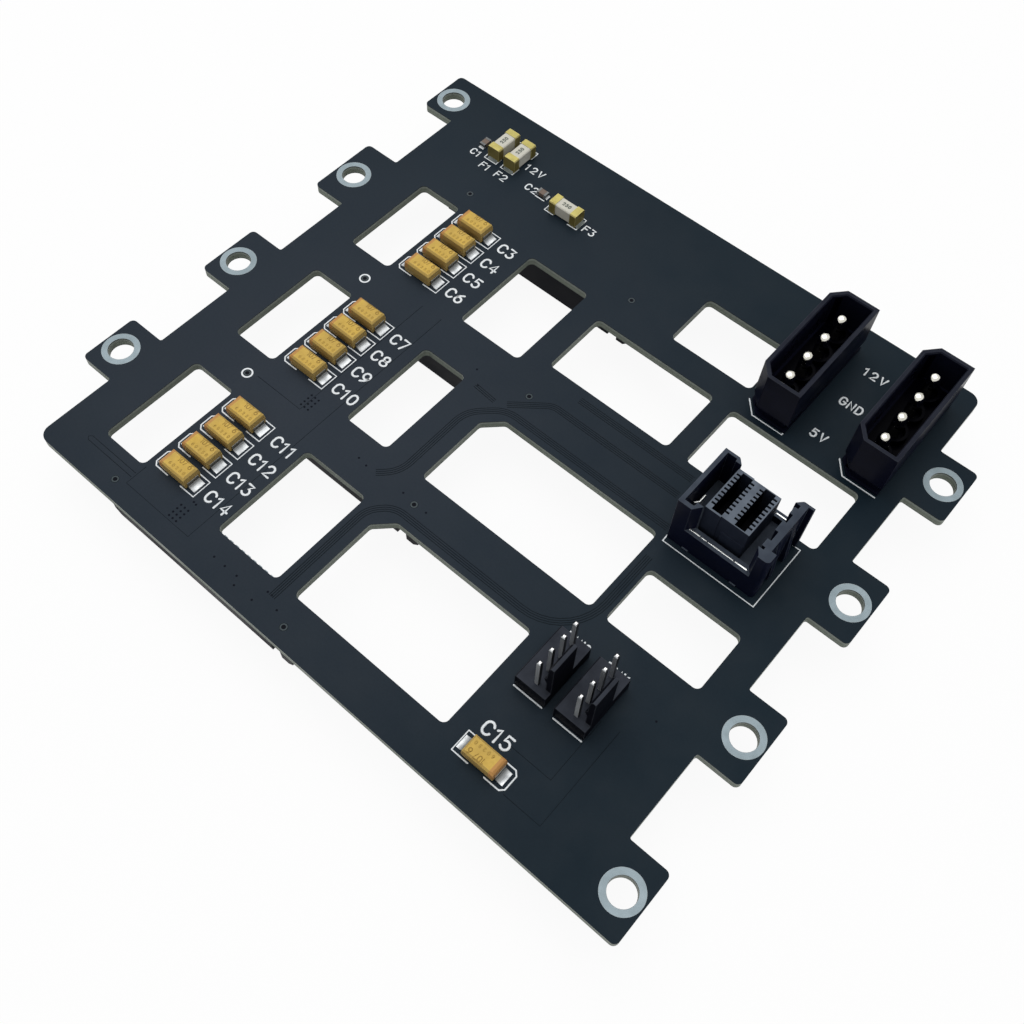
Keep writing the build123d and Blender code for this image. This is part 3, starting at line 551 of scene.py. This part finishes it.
def settle(name, bm, material):
    """Turns a bmesh drawn in millimetres into a finished piece that rides on the board."""
    bmesh.ops.scale(bm, vec=(MM, MM, MM), verts=bm.verts)
    bmesh.ops.recalc_face_normals(bm, faces=bm.faces)
    mesh = bpy.data.meshes.new(name)
    bm.to_mesh(mesh)
    bm.free()
    mesh.materials.append(material)
    piece = put(name, mesh)
    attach(piece, "root")
    return piece


def drawn_tube(path, wide):
    """A round line along path, whose ends are rounded off, as a mesh in millimetres."""
    radius = wide / 2
    points = [Vector((x, y, 0)) for x, y in path]
    start = (points[0] - points[1]).normalized()
    end = (points[-1] - points[-2]).normalized()
    cap = (0.0, 30.0, 60.0)
    head = [(points[0] + start * radius * cos(radians(a)), radius * sin(radians(a))) for a in cap]
    tail = [(points[-1] + end * radius * cos(radians(a)), radius * sin(radians(a))) for a in reversed(cap)]
    line = head + [(point, radius) for point in points] + tail
    curve = bpy.data.curves.new("stroke", "CURVE")
    curve.dimensions = "3D"
    curve.bevel_depth = 1.0
    curve.bevel_resolution = 1
    spline = curve.splines.new("POLY")
    spline.points.add(len(line) - 1)
    for knot, (point, reach) in zip(spline.points, line):
        knot.co = (*point, 1)
        knot.radius = max(reach, 0.001)
    holder = bpy.data.objects.new("stroke", curve)
    mesh = bpy.data.meshes.new_from_object(holder)
    bpy.data.objects.remove(holder)
    bpy.data.curves.remove(curve)
    return mesh


def printed_lines(name, paths, wide=INK_LINE, proud=INK_PROUD, material=INK,
                  place=Matrix.Identity(4), low=None):
    """Printed strokes, flattened to a film that stands proud of the face it lies on."""
    level = BOARD_TOP if low is None else low
    bm = bmesh.new()
    for path in paths:
        mesh = drawn_tube(path, wide)
        bm.from_mesh(mesh)
        bpy.data.meshes.remove(mesh)
    bmesh.ops.remove_doubles(bm, verts=bm.verts, dist=0.0005)
    bmesh.ops.scale(bm, vec=(1, 1, proud * 2 / wide), verts=bm.verts)
    bmesh.ops.transform(bm, matrix=Matrix.Translation((0, 0, level)) @ place, verts=bm.verts)
    return settle(name, bm, material)


def arc(middle_x, middle_y, reach_x, reach_y, start, end):
    """Points along an arc of an ellipse, both ends included, every 20 degrees or so."""
    steps = max(2, round(abs(end - start) / 20))
    turns = [radians(start + (end - start) * step / steps) for step in range(steps + 1)]
    return [(middle_x + reach_x * cos(turn), middle_y + reach_y * sin(turn)) for turn in turns]


# Each letter's strokes, drawn in a square from 0 to 1 along the middle of the pen
GLYPHS = {
    "0": [arc(0.5, 0.64, 0.46, 0.36, 0, 180) + arc(0.5, 0.36, 0.46, 0.36, 180, 360) + [(0.96, 0.64)]],
    "1": [[(0.22, 0.8), (0.58, 1), (0.58, 0)]],
    "2": [arc(0.5, 0.7, 0.45, 0.3, 165, -35) + [(0.04, 0), (0.98, 0)]],
    "3": [[(0.08, 1), (0.9, 1), (0.48, 0.6)] + arc(0.46, 0.31, 0.48, 0.31, 75, -145)],
    "4": [[(0.7, 0), (0.7, 1), (0.02, 0.3), (1, 0.3)]],
    "5": [[(0.9, 1), (0.2, 1), (0.12, 0.56)] + arc(0.48, 0.33, 0.48, 0.33, 110, -145)],
    "6": [[(0.8, 1), (0.4, 0.82), (0.1, 0.5)] + arc(0.5, 0.32, 0.46, 0.32, 170, -190)],
    "7": [[(0.04, 1), (0.96, 1), (0.36, 0)]],
    "8": [arc(0.5, 0.76, 0.38, 0.24, 270, -90), arc(0.5, 0.26, 0.48, 0.26, 90, 450)],
    "9": [[(0.2, 0), (0.6, 0.18), (0.9, 0.5)] + arc(0.5, 0.68, 0.46, 0.32, -10, 350)],
    "A": [[(0, 0), (0.5, 1), (1, 0)], [(0.2, 0.34), (0.8, 0.34)]],
    "C": [arc(0.5, 0.64, 0.5, 0.36, 25, 180) + arc(0.5, 0.36, 0.5, 0.36, 180, 335)],
    "D": [[(0.05, 0), (0.05, 1), (0.45, 1)] + arc(0.5, 0.5, 0.5, 0.5, 80, -80) + [(0.45, 0), (0.05, 0)]],
    "F": [[(0.08, 0), (0.08, 1), (0.95, 1)], [(0.08, 0.52), (0.75, 0.52)]],
    "G": [arc(0.5, 0.64, 0.5, 0.36, 25, 180) + arc(0.5, 0.36, 0.5, 0.36, 180, 360)
          + [(1, 0.46), (0.6, 0.46)]],
    "N": [[(0.04, 0), (0.04, 1), (0.96, 0), (0.96, 1)]],
    "V": [[(0, 1), (0.5, 0), (1, 1)]],
}


def lettering(name, text, x, y, high, pen, material=INK, low=None, turn=0.0,
              proud=INK_PROUD, wide=GLYPH_WIDE, step=GLYPH_STEP):
    """A word in round-ended strokes, centred along its baseline on x, with its foot at y."""
    letter_wide = high * wide - pen
    letter_high = high - pen
    cells = [high * step * (SLIM_CELL if letter == "1" else 1) for letter in text]
    start = -sum(cells) / 2
    paths = []
    for letter, cell in zip(text, cells):
        middle = start + cell / 2
        start += cell
        paths += [[(middle + (u - 0.5) * letter_wide, pen / 2 + v * letter_high) for u, v in stroke]
                  for stroke in GLYPHS[letter]]
    place = Matrix.Translation((x, y, 0)) @ Matrix.Rotation(radians(turn), 4, "Z")
    return printed_lines(name, paths, pen, proud, material, place, low)


def ring_into(bm, x, y, inner, outer, low, high, steps=40):
    """Adds a flat ring, turned from a small rectangle, to a bmesh."""
    corners = ((inner, low), (outer, low), (outer, high), (inner, high))
    section = [bm.verts.new((x + r, y, z)) for r, z in corners]
    rim = [bm.edges.new((section[side], section[(side + 1) % 4])) for side in range(4)]
    bmesh.ops.spin(bm, geom=section + rim, cent=(x, y, 0), axis=(0, 0, 1), angle=2 * pi, steps=steps,
                   use_merge=True)


def turned_into(bm, x, y, profile, steps=24):
    """Adds a solid turned from a profile of (radius, z) points that starts and ends on the axis."""
    points = [bm.verts.new((x + r, y, z)) for r, z in profile]
    line = [bm.edges.new(pair) for pair in zip(points, points[1:])]
    bmesh.ops.spin(bm, geom=points + line, cent=(x, y, 0), axis=(0, 0, 1), angle=2 * pi, steps=steps,
                   use_merge=True)
    bmesh.ops.remove_doubles(bm, verts=bm.verts, dist=0.0005)


def slab_into(bm, x0, x1, y0, y1, z0, z1, edge=0.0):
    """Adds a straight slab with softened edges to a bmesh."""
    place = Matrix.Translation(((x0 + x1) / 2, (y0 + y1) / 2, (z0 + z1) / 2))
    size = Matrix.Diagonal((x1 - x0, y1 - y0, z1 - z0, 1))
    made = bmesh.ops.create_cube(bm, size=1, matrix=place @ size)
    if edge:
        bmesh.ops.bevel(bm, geom=lines_of(made["verts"]), offset=edge, affect="EDGES", segments=2,
                        profile=0.5, material=-1)
    return made["verts"]


def lines_of(verts):
    """Every edge that meets one of the verts, once."""
    return list(dict.fromkeys(line for vert in verts for line in vert.link_edges))


# The board's own print and metal

def mount_pads():
    """Tinned rings round the eight screw holes, on both faces."""
    for mount in frame["record"]["mounts"]:
        if mount["kind"] != "bolt_pattern":
            continue
        x, y = (value / MM for value in mount["pos_m"][:2])
        half = mount["dims"]["spacing_y_mm"] / 2
        bm = bmesh.new()
        for way in (-1, 1):
            for low, high in ((BOARD_TOP, BOARD_TOP + COPPER_PROUD), (-COPPER_PROUD, 0)):
                ring_into(bm, x, y + way * half, MOUNT_HOLE_R + PAD_GAP, MOUNT_PAD_R, low, high, steps=56)
        settle(mount["name"] + "_pads", bm, PAD_TIN)


def peg_rings():
    """Rings round the pegs of the drive sockets; two of them have a bare, bright rim."""
    bare = bmesh.new()
    covered = bmesh.new()
    top = BOARD_TOP + COPPER_PROUD
    for socket in range(1, 5):
        node = f"drive_socket_{socket}_housing"
        line = edges_of(node)[1] + PEG_LINE
        for way in (-1, 1):
            x = middle_of(node)[0] - PEG_SHIFT + way * PEG_SPAN / 2
            ring_into(covered, x, line, *PEG_RING, BOARD_TOP, top)
            if way < 0 and socket in (2, 3):
                ring_into(bare, x, line, *PEG_BARE_RING, BOARD_TOP, top)
    settle("peg_rings_bare", bare, INK)
    settle("peg_rings_covered", covered, COPPER)


VIA_GRIDS = ((-28.05, -22.1, 3, 4), (-28.05, -49.7, 3, 4))   # south-west via, columns and rows
VIA_PITCH = 0.8
LONE_VIAS = (
    (-11.58, 2.2), (-9.3, -0.1), (-13.87, -23.17), (-12.04, -23.44), (-4.26, -23.17), (0.78, -23.44),
    (-17.6, -49.96), (-15.26, -49.96), (-12.76, -49.9), (-11.9, -51.2), (-8.2, -51.1), (-7.4, -48.65),
    (-6.56, -48.65), (-4.26, -49.82), (-27.0, -45.7), (-26.4, -45.8), (47.6, -26.6),
)


def vias():
    """Small masked rings in two grids and singly, each with a thin black disc in its middle as painted shade
    in the drilled hole.
    """
    spots = list(LONE_VIAS)
    for x, y, columns, rows in VIA_GRIDS:
        spots += [(x + column * VIA_PITCH, y + row * VIA_PITCH)
                  for column in range(columns) for row in range(rows)]
    well = ((0, BOARD_TOP), (VIA_DRILL_R, BOARD_TOP), (VIA_DRILL_R, VIA_SHADE_TOP), (0, VIA_SHADE_TOP))
    rings = bmesh.new()
    wells = bmesh.new()
    for x, y in spots:
        ring_into(rings, x, y, VIA_DRILL_R, VIA_R, BOARD_TOP, BOARD_TOP + COPPER_PROUD / 2, steps=16)
        turned_into(wells, x, y, well, steps=12)
    settle("via_rings", rings, GAP_MASK)
    settle("via_hole_shade", wells, INLET_BLACK)


GAP_PITCH = 0.36
POUR_WIDE = 0.1
# Bundles: number of gaps, bend radius, and the corners of their middle line
TRACE_RUNS = (
    (4, 1.5, ((27.9, 8.8), (5.1, 8.8))),
    (4, 3.0, ((27.9, 5.0), (2.6, 5.0), (-3.2, 0.2))),
    (4, 5.5, ((30.2, -0.7), (-2.6, -0.7), (-7.3, -5.4), (-7.3, -20.8), (-10.0, -23.3))),
    (4, 9.0, ((31.1, -6.6), (31.1, -25.9), (12.0, -25.9))),
    (4, 4.5, ((12.0, -25.9), (-3.6, -25.9), (-6.4, -29.2), (-6.4, -48.8))),
    (3, 1.0, ((-9.6, -0.35), (-5.2, -0.7))),
)
POUR_LINES = (
    ((-23.1, 6.0), (-23.1, -50.3), (-37.3, -50.3), (-37.3, -46.4)),
    ((-37.3, -22.9), (-27.5, -22.9), (-27.5, 6.0)),
    ((-37.6, -48.2), (-48.0, -48.2), (-48.5, -48.65), (-48.0, -49.1), (-37.6, -49.1)),
    ((41.8, -31.7), (41.8, -42.7), (33.7, -42.7)),
    ((44.7, -31.2), (44.7, -48.4), (38.3, -48.4)),
)


def copper_traces():
    """The dark gaps in the bundles of signal traces, and round the power pours."""
    for number, (count, bend, route) in enumerate(TRACE_RUNS, start=1):
        shifts = [(lane - (count - 1) / 2) * GAP_PITCH for lane in range(count)]
        paths = [beside(route, shift, bend) for shift in shifts]
        printed_lines(f"trace_gaps_{number}", paths, GAP_WIDE, COPPER_PROUD, GAP_MASK)
    printed_lines("pour_outlines", POUR_LINES, POUR_WIDE, COPPER_PROUD, GAP_MASK)


def beside(route, shift, bend):
    """The route with its corners rounded to the bend radius, moved sideways by shift."""
    points = [Vector(point) for point in route]
    moved = []
    for number, here in enumerate(points):
        ways = []
        if number:
            ways.append((here - points[number - 1]).normalized())
        if number + 1 < len(points):
            ways.append((points[number + 1] - here).normalized())
        if len(ways) == 1:
            moved.append(tuple(here + Vector((-ways[0].y, ways[0].x)) * shift))
            continue
        turn = ways[0].angle_signed(ways[1])
        side = -1 if turn > 0 else 1
        reach = bend * tan(abs(turn) / 2)
        start = here - ways[0] * reach
        centre = start + Vector((-ways[0].y, ways[0].x)) * side * bend
        radius = bend - side * shift
        steps = max(2, round(abs(turn) / radians(10)))
        spoke = (start - centre).normalized()
        for step in range(steps + 1):
            part = -turn * step / steps
            moved.append((centre.x + radius * (spoke.x * cos(part) - spoke.y * sin(part)),
                          centre.y + radius * (spoke.x * sin(part) + spoke.y * cos(part))))
    return moved


# Labels: name, text, middle of the foot, height, pen and step
LABELS = (
    ("label_c1", "C1", -45.5, 39.1, 1.7, 0.3, 0.78),
    ("label_f1", "F1", -41.85, 37.5, 1.75, 0.3, 0.75),
    ("label_f2", "F2", -37.95, 37.5, 1.8, 0.3, 0.8),
    ("label_c2", "C2", -31.6, 38.95, 1.75, 0.3, 0.86),
    ("label_f3", "F3", -17.15, 37.9, 1.75, 0.3, 0.82),
    ("label_12v_fuse", "12V", -34.05, 42.75, 1.8, 0.32, 0.94),
    ("label_12v", "12V", 38.95, 44.6, 1.95, 0.38, 0.9),
    ("label_gnd", "GND", 39.1, 36.85, 1.95, 0.38, 0.78),
    ("label_5v", "5V", 38.25, 28.3, 1.95, 0.38, 0.88),
    ("label_fan_2", "FAN2", 31.85, -25.1, 1.3, 0.34, 0.82),
    ("label_fan_1", "FAN1", 39.05, -25.1, 1.3, 0.34, 0.88),
    ("label_c15", "C15", 32.32, -44.05, 2.5, 0.42, 0.76),
)
CAPACITOR_LABEL_GAP = 4.63   # from a capacitor's east end to the middle of a label with one number
LONG_LABEL_SHIFT = 0.78      # and how much further for two


def labels():
    """All the plain designators and voltages printed on the board."""
    for name, text, x, y, high, pen, step in LABELS:
        lettering(name, text, x, y, high, pen, step=step)
    for number in range(3, 15):
        node = f"capacitor_c{number}_body"
        x = edges_of(node)[3] + CAPACITOR_LABEL_GAP + (LONG_LABEL_SHIFT if number > 9 else 0)
        foot = middle_of(node)[1] - LABEL_HIGH / 2 + LABEL_NUDGE
        lettering(f"label_c{number}", f"C{number}", x, foot, LABEL_HIGH, LABEL_PEN)


BRACKET_WEST = 1.68      # from the capacitor's end to the frame
BRACKET_EAST = 1.75
BRACKET_HALF = 1.72
BRACKET_CHAMFER = 0.6
BRACKET_OPEN = (-1.3, 1.7)   # the long sides are open between these places
LONE_FRAME_SHIFT = 0.25      # C15's frame lies this far east and is this much wider on each side
LONE_FRAME_WIDER = 0.08


def capacitor_brackets():
    """The printed frame round each capacitor, open in the middle of its long sides."""
    open_west, open_east = BRACKET_OPEN
    for number in range(3, 16):
        node = f"capacitor_c{number}_body"
        west, _, _, east, _, _ = edges_of(node)
        middle_x, middle_y = middle_of(node)
        way, half = 1, BRACKET_HALF
        if number == 15:
            way, half = -1, BRACKET_HALF + LONE_FRAME_WIDER
            middle_x += LONE_FRAME_SHIFT
        keyed_end = -(east - west) / 2 - BRACKET_WEST
        plain_end = (east - west) / 2 + BRACKET_EAST
        corner = keyed_end + BRACKET_CHAMFER
        keyed = [(open_west, half), (corner, half), (keyed_end, half - BRACKET_CHAMFER),
                 (keyed_end, BRACKET_CHAMFER - half), (corner, -half), (open_west, -half)]
        plain = [(open_east, half), (plain_end, half), (plain_end, -half), (open_east, -half)]
        paths = [[(middle_x + way * x, middle_y + y) for x, y in path] for path in (keyed, plain)]
        printed_lines(f"capacitor_frame_c{number}", paths)


# Solder at a part's ends: how far past the end it starts, half its width, its reach and its height
CAPACITOR_SLOPE = (0.0, 1.12, 1.2, 0.55)
FUSE_SLOPE = (0.1, 1.05, 0.6, 0.3)
CHIP_SLOPE = (0.0, 0.55, 0.35, 0.3)
SLOPE_END = 0.06         # thickness of the solder at the far end
SLOPE_SAG = 0.9          # of the slope's height, times both distances from its ends
SAG_FROM = 0.05          # what lies lower than this on the board doesn't sag
HAIR = 0.01              # a distance that counts as none


def lead_pads():
    """Tinned pads that reach out from under each capacitor, with a solder slope up to the lead."""
    for number in range(3, 16):
        end_solder(f"capacitor_c{number}_solder", f"capacitor_c{number}_leads", SOLDER, *CAPACITOR_SLOPE)


def lies_north(node):
    """True for a part whose long side runs north."""
    west, south, _, east, north, _ = edges_of(node)
    return north - south > east - west


def end_solder(name, node, material, past, half, reach, high):
    """Solder slopes at both ends of a small part, turned as the part is."""
    west, south, _, east, north, _ = edges_of(node)
    x, y = middle_of(node)
    half_long = max(east - west, north - south) / 2
    bm = bmesh.new()
    for way in (-1, 1):
        solder_slope(bm, x + way * (half_long + past), way, y, half, reach, high)
    if lies_north(node):
        bmesh.ops.rotate(bm, verts=bm.verts, cent=(x, y, 0), matrix=Matrix.Rotation(pi / 2, 3, "Z"))
    settle(name, bm, material)


def solder_slope(bm, near, way, middle, half, reach, high):
    """A pad with solder on it: thick against the lead at near, sagging to a thin far end."""
    far = near + way * reach
    verts = slab_into(bm, min(near, far), max(near, far), middle - half, middle + half,
                      BOARD_TOP, BOARD_TOP + high)
    for vert in verts:
        if vert.co.z > BOARD_TOP + high / 2 and abs(vert.co.x - far) < HAIR:
            vert.co.z = BOARD_TOP + SLOPE_END
    cut = [line for line in lines_of(verts) if abs(line.verts[0].co.y - line.verts[1].co.y) < half]
    halved = bmesh.ops.subdivide_edges(bm, edges=cut, cuts=4)
    for vert in halved["geom_inner"]:
        if isinstance(vert, bmesh.types.BMVert) and vert.co.z > BOARD_TOP + SAG_FROM:
            along = abs(vert.co.x - near) / reach
            if HAIR < along < 1 - HAIR:
                vert.co.z -= high * SLOPE_SAG * along * (1 - along)


MARK_PEN = 0.16
MARK_PROUD = 0.006
MARK_WIDE = 0.7
# Text, middle of the foot from the capacitor's own middle, height, step and ink
CAPACITOR_MARKS = (("107", 0.15, 0.35, 1.0, 0.64, MARK_INK),
                   ("60250", 0.4, -0.87, 0.64, 1.2, FAINT_MARK_INK),
                   ("6", 1.85, 0.35, 1.0, 0.64, MARK_INK))


def capacitor_marks():
    """Faint plain numbers on top of each capacitor."""
    for number in range(3, 16):
        node = f"capacitor_c{number}_body"
        x, y = middle_of(node)
        way, turn = (-1, 180.0) if number == 15 else (1, 0.0)
        for row, (text, shift_x, shift_y, high, step, ink) in enumerate(CAPACITOR_MARKS, start=1):
            lettering(f"capacitor_c{number}_mark_{row}", text, x + way * shift_x, y + way * shift_y, high,
                      MARK_PEN, ink, top_of(node), turn, MARK_PROUD, MARK_WIDE, step)


# Fuses and chips

FUSE_MARK = ("250", 0.85, 0.22, -0.42)   # text, height, pen, and its foot from the fuse's middle line
FUSE_FRAMES = (
    (((-43.5, 41.9), (-43.5, 40.1), (-40.65, 40.1), (-40.65, 41.6)),
     ((-43.5, 45.9), (-43.5, 47.6), (-40.65, 47.6), (-40.65, 46.6))),
    (((-39.5, 41.9), (-39.5, 40.1), (-36.6, 40.1), (-36.6, 41.9)),
     ((-39.5, 45.6), (-39.5, 47.55), (-36.6, 47.55), (-36.6, 45.6))),
    (((-24.6, 37.45), (-26.55, 37.45), (-26.55, 40.46), (-24.6, 40.46)),
     ((-21.1, 37.45), (-19.12, 37.45), (-19.12, 40.46), (-21.1, 40.46))),
)


def fuse_details():
    """Solder under each fuse's caps, a plain number on its body and its printed frame."""
    text, high, pen, foot = FUSE_MARK
    for number in range(1, 4):
        node = f"fuse_f{number}_body"
        end_solder(f"fuse_f{number}_solder", node, DULL_SOLDER, *FUSE_SLOPE)
        x, y = middle_of(node)
        turn = 90.0 if lies_north(node) else 0.0
        shift = Matrix.Rotation(radians(turn), 2) @ Vector((0, foot))
        lettering(f"fuse_f{number}_mark", text, x + shift.x, y + shift.y, high, pen, FUSE_INK,
                  top_of(node), turn, MARK_PROUD)
    for number, strokes in enumerate(FUSE_FRAMES, start=1):
        printed_lines(f"fuse_frame_f{number}", strokes)


def chip_details():
    """Solder at the ends of the two chip capacitors and the printed line beside the second."""
    for number in (1, 2):
        end_solder(f"chip_c{number}_solder", f"chip_c{number}_ends", SOLDER, *CHIP_SLOPE)
    printed_lines("chip_line_c2", [((-30.0, 38.98), (-28.0, 38.98))])


# Connectors

CONNECTOR_OUTLINES = (
    ("inlet_outline_1", ((25.72, 27.75), (27.88, 25.36), (33.65, 25.36), (33.65, 25.7))),
    ("inlet_outline_2", ((43.23, 27.75), (45.29, 25.28), (51.25, 25.28))),
    ("fan_outline_1", ((36.47, -35.77), (41.5, -35.77))),
    ("fan_outline_2", ((29.15, -35.67), (34.27, -35.67))),
    ("data_outline", ((30.94, -1.8), (30.94, -3.0), (47.7, -3.0), (47.7, 9.6), (46.4, 9.6))),
)


def connector_outlines():
    """Printed outlines round the power inlets, the fan headers and the data connector."""
    for name, corners in CONNECTOR_OUTLINES:
        printed_lines(name, [corners])


SKIRT_INSET = 0.12
SKIRT_HIGH = 0.5
KEY_CUT = (2.15, 2.3)    # the inlet's west corners, cut off as a key


def inlet_shade_skirts():
    """A low black skirt under each inlet, nearly as wide as the inlet above it: it carries the inlet's walls
    down to the board, and its black stands in for the shadow under the inlet's overhang.
    """
    cut_x, cut_y = KEY_CUT
    for number in (1, 2):
        west, south, low, east, north, _ = edges_of(f"power_inlet_{number}_housing")
        west, south, east, north = (west + SKIRT_INSET, south + SKIRT_INSET,
                                    east - SKIRT_INSET, north - SKIRT_INSET)
        outline = ((east, south), (east, north), (west + cut_x, north), (west, north - cut_y),
                   (west, south + cut_y), (west + cut_x, south))
        bm = bmesh.new()
        plan = bm.faces.new([bm.verts.new((x, y, low)) for x, y in outline])
        raised = bmesh.ops.extrude_face_region(bm, geom=[plan])["geom"]
        verts = [vert for vert in raised if isinstance(vert, bmesh.types.BMVert)]
        bmesh.ops.translate(bm, vec=(0, 0, SKIRT_HIGH), verts=verts)
        settle(f"inlet_{number}_shade_skirt", bm, INLET_BLACK)


PIN_R = 1.05
PIN_DOME = 0.85
PIN_RAISE = 0.3          # the dome's crown over the solid's flat tip
PIN_ROOT = 5.1           # the inlet's floor, where the round pin stands on its square tail
TAIL_HALF = 0.7
TAIL_EDGE = 0.08


def inlet_pins():
    """Smooth turned pins with domed ends and square tails, in place of the solids' faceted ones."""
    dome = [(PIN_R * cos(radians(a)), PIN_DOME * sin(radians(a))) for a in range(0, 90, 10)]
    dome.append((0, PIN_DOME))
    for number, (x, row) in enumerate(pin_rows("power_inlet"), start=1):
        _, _, low, _, _, tip = edges_of(f"power_inlet_{number}_pins")
        dome_foot = tip + PIN_RAISE - PIN_DOME
        profile = [(0, PIN_ROOT), (PIN_R, PIN_ROOT)] + [(r, dome_foot + up) for r, up in dome]
        bm = bmesh.new()
        for y in row:
            turned_into(bm, x, y, profile, steps=32)
        for face in bm.faces:
            face.smooth = True
        for y in row:
            slab_into(bm, x - TAIL_HALF, x + TAIL_HALF, y - TAIL_HALF, y + TAIL_HALF, low, PIN_ROOT,
                      TAIL_EDGE)
        piece = settle(f"inlet_pins_{number}", bm, PIN_TIN)
        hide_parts(f"power_inlet_{number}_pins")


# Outline of a solder cone under the board, as radii and heights
INLET_CONE = ((0, 0), (1.5, 0), (1.35, -0.12), (1.02, -0.35), (0.86, -0.75), (0.84, -1.05), (0, -1.05))
FAN_CONE = tuple((radius * 0.58, height * 0.85) for radius, height in INLET_CONE)


def tail_solder():
    """Solder cones round every tail that comes through the board."""
    for kind, short, cone, steps in (("power_inlet", "inlet", INLET_CONE, 24),
                                     ("fan_header", "fan", FAN_CONE, 16)):
        for number, (x, row) in enumerate(pin_rows(kind), start=1):
            bm = bmesh.new()
            for y in row:
                turned_into(bm, x, y, cone, steps)
            settle(f"{short}_{number}_solder", bm, SOLDER)


def pin_rows(kind):
    """X of each connector's pin row and the Y of its four pins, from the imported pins."""
    for number in (1, 2):
        west, south, _, east, north, _ = edges_of(f"{kind}_{number}_pins")
        first = south + (east - west) / 2
        last = north - (east - west) / 2
        yield (west + east) / 2, [first + (last - first) * step / 3 for step in range(4)]


CONTACT_PITCH = 1.27
CONTACT_HALF = 0.3
SOCKET_PAD_HALF = 0.36
SOCKET_PAD_Y = (-0.1, 0.75)   # south and north end, from the tail's tip
SOCKET_PAD_T = 0.09


def socket_pads():
    """A tinned pad with solder under every contact tail of the drive sockets."""
    south_end, north_end = SOCKET_PAD_Y
    for socket in range(1, 5):
        west, _, _, east, north, _ = edges_of(f"drive_socket_{socket}_contacts")
        count = round((east - west - 2 * CONTACT_HALF) / CONTACT_PITCH) + 1
        bm = bmesh.new()
        for step in range(count):
            x = west + CONTACT_HALF + step * CONTACT_PITCH
            slab_into(bm, x - SOCKET_PAD_HALF, x + SOCKET_PAD_HALF, north + south_end, north + north_end,
                      -SOCKET_PAD_T, 0, edge=0.03)
        settle(f"socket_{socket}_pads", bm, PAD_TIN)


# The room

# The floor and the lamp, in metres
FLOOR_HALF = 1.5
FLOOR_DROP = 0.00002
FLOOR_WHITE = 0.93       # share of plain white where the floor is seen
SKY_LIGHT = 0.42
LAMP_PLACE = (-0.12, 0.1, 0.6)
LAMP_SIZE = 0.7
LAMP_POWER = 2.7


def seen_itself(tree):
    """1 where the surround is seen straight, in polished metal or through glass, else 0."""
    ray = add(tree, "LightPath").outputs
    seen = maths(tree, "MAXIMUM", ray["Is Camera Ray"], ray["Is Glossy Ray"])
    return maths(tree, "MAXIMUM", seen, ray["Is Transmission Ray"])


def studio():
    """Pale floor with a faint shadow, soft overhead light and a white surround."""
    bm = bmesh.new()
    bmesh.ops.create_grid(bm, x_segments=2, y_segments=2, size=FLOOR_HALF)
    bmesh.ops.translate(bm, verts=bm.verts, vec=(0, 0, FLOOR_Z * MM - FLOOR_DROP))
    mesh = bpy.data.meshes.new("floor")
    bm.to_mesh(mesh)
    bm.free()
    put("floor", mesh)
    material = bpy.data.materials.new("pale floor")
    material.use_nodes = True
    tree = material.node_tree
    tree.nodes.clear()
    plain = add(tree, "BsdfDiffuse", Color=(0.95, 0.95, 0.95, 1))
    white = add(tree, "Emission", Color=(1, 1, 1, 1), Strength=1.0)
    blend = add(tree, "MixShader", n0=maths(tree, "MULTIPLY", seen_itself(tree), FLOOR_WHITE),
                n1=plain.outputs[0], n2=white.outputs[0])
    add(tree, "OutputMaterial", n0=blend.outputs[0])
    mesh.materials.append(material)

    world = bpy.data.worlds.new("soft surround")
    bpy.context.scene.world = world
    world.use_nodes = True
    tree = world.node_tree
    tree.nodes.clear()
    strength = add(tree, "MapRange", Value=seen_itself(tree), To_Min=SKY_LIGHT, To_Max=1.0)
    sky = add(tree, "Background", Color=(1, 1, 1, 1), Strength=strength.outputs[0])
    add(tree, "OutputWorld", n0=sky.outputs[0])

    lamp("overhead_light", LAMP_PLACE, (0, 0, 0), LAMP_SIZE, LAMP_POWER)


def lamp(name, place, aim, size, power):
    """A square soft light."""
    light = bpy.data.lights.new(name, "AREA")
    light.size = size
    light.energy = power
    holder = put(name, light)
    holder.location = place
    holder.rotation_euler = (Vector(aim) - Vector(place)).to_track_quat("-Z", "Y").to_euler()


def camera():
    """The photograph's viewpoint."""
    view = bpy.data.cameras.new("camera")
    view.lens = LENS
    view.sensor_width = 36
    view.clip_start = 0.01
    view.clip_end = 20
    holder = put("camera", view)
    place = Vector(CAMERA_PLACE) * MM
    aim = Vector(CAMERA_AIM) * MM
    facing = (aim - place).to_track_quat("-Z", "Y").to_matrix().to_4x4()
    roll = Matrix.Rotation(radians(CAMERA_ROLL), 4, "Z")
    holder.matrix_world = Matrix.Translation(place) @ facing @ roll
    bpy.context.scene.camera = holder
    bpy.context.scene.view_settings.view_transform = "Standard"


dress_nodes()
mount_pads()
peg_rings()
vias()
copper_traces()
labels()
capacitor_brackets()
lead_pads()
capacitor_marks()
fuse_details()
chip_details()
connector_outlines()
inlet_shade_skirts()
inlet_pins()
tail_solder()
socket_pads()
studio()
camera()
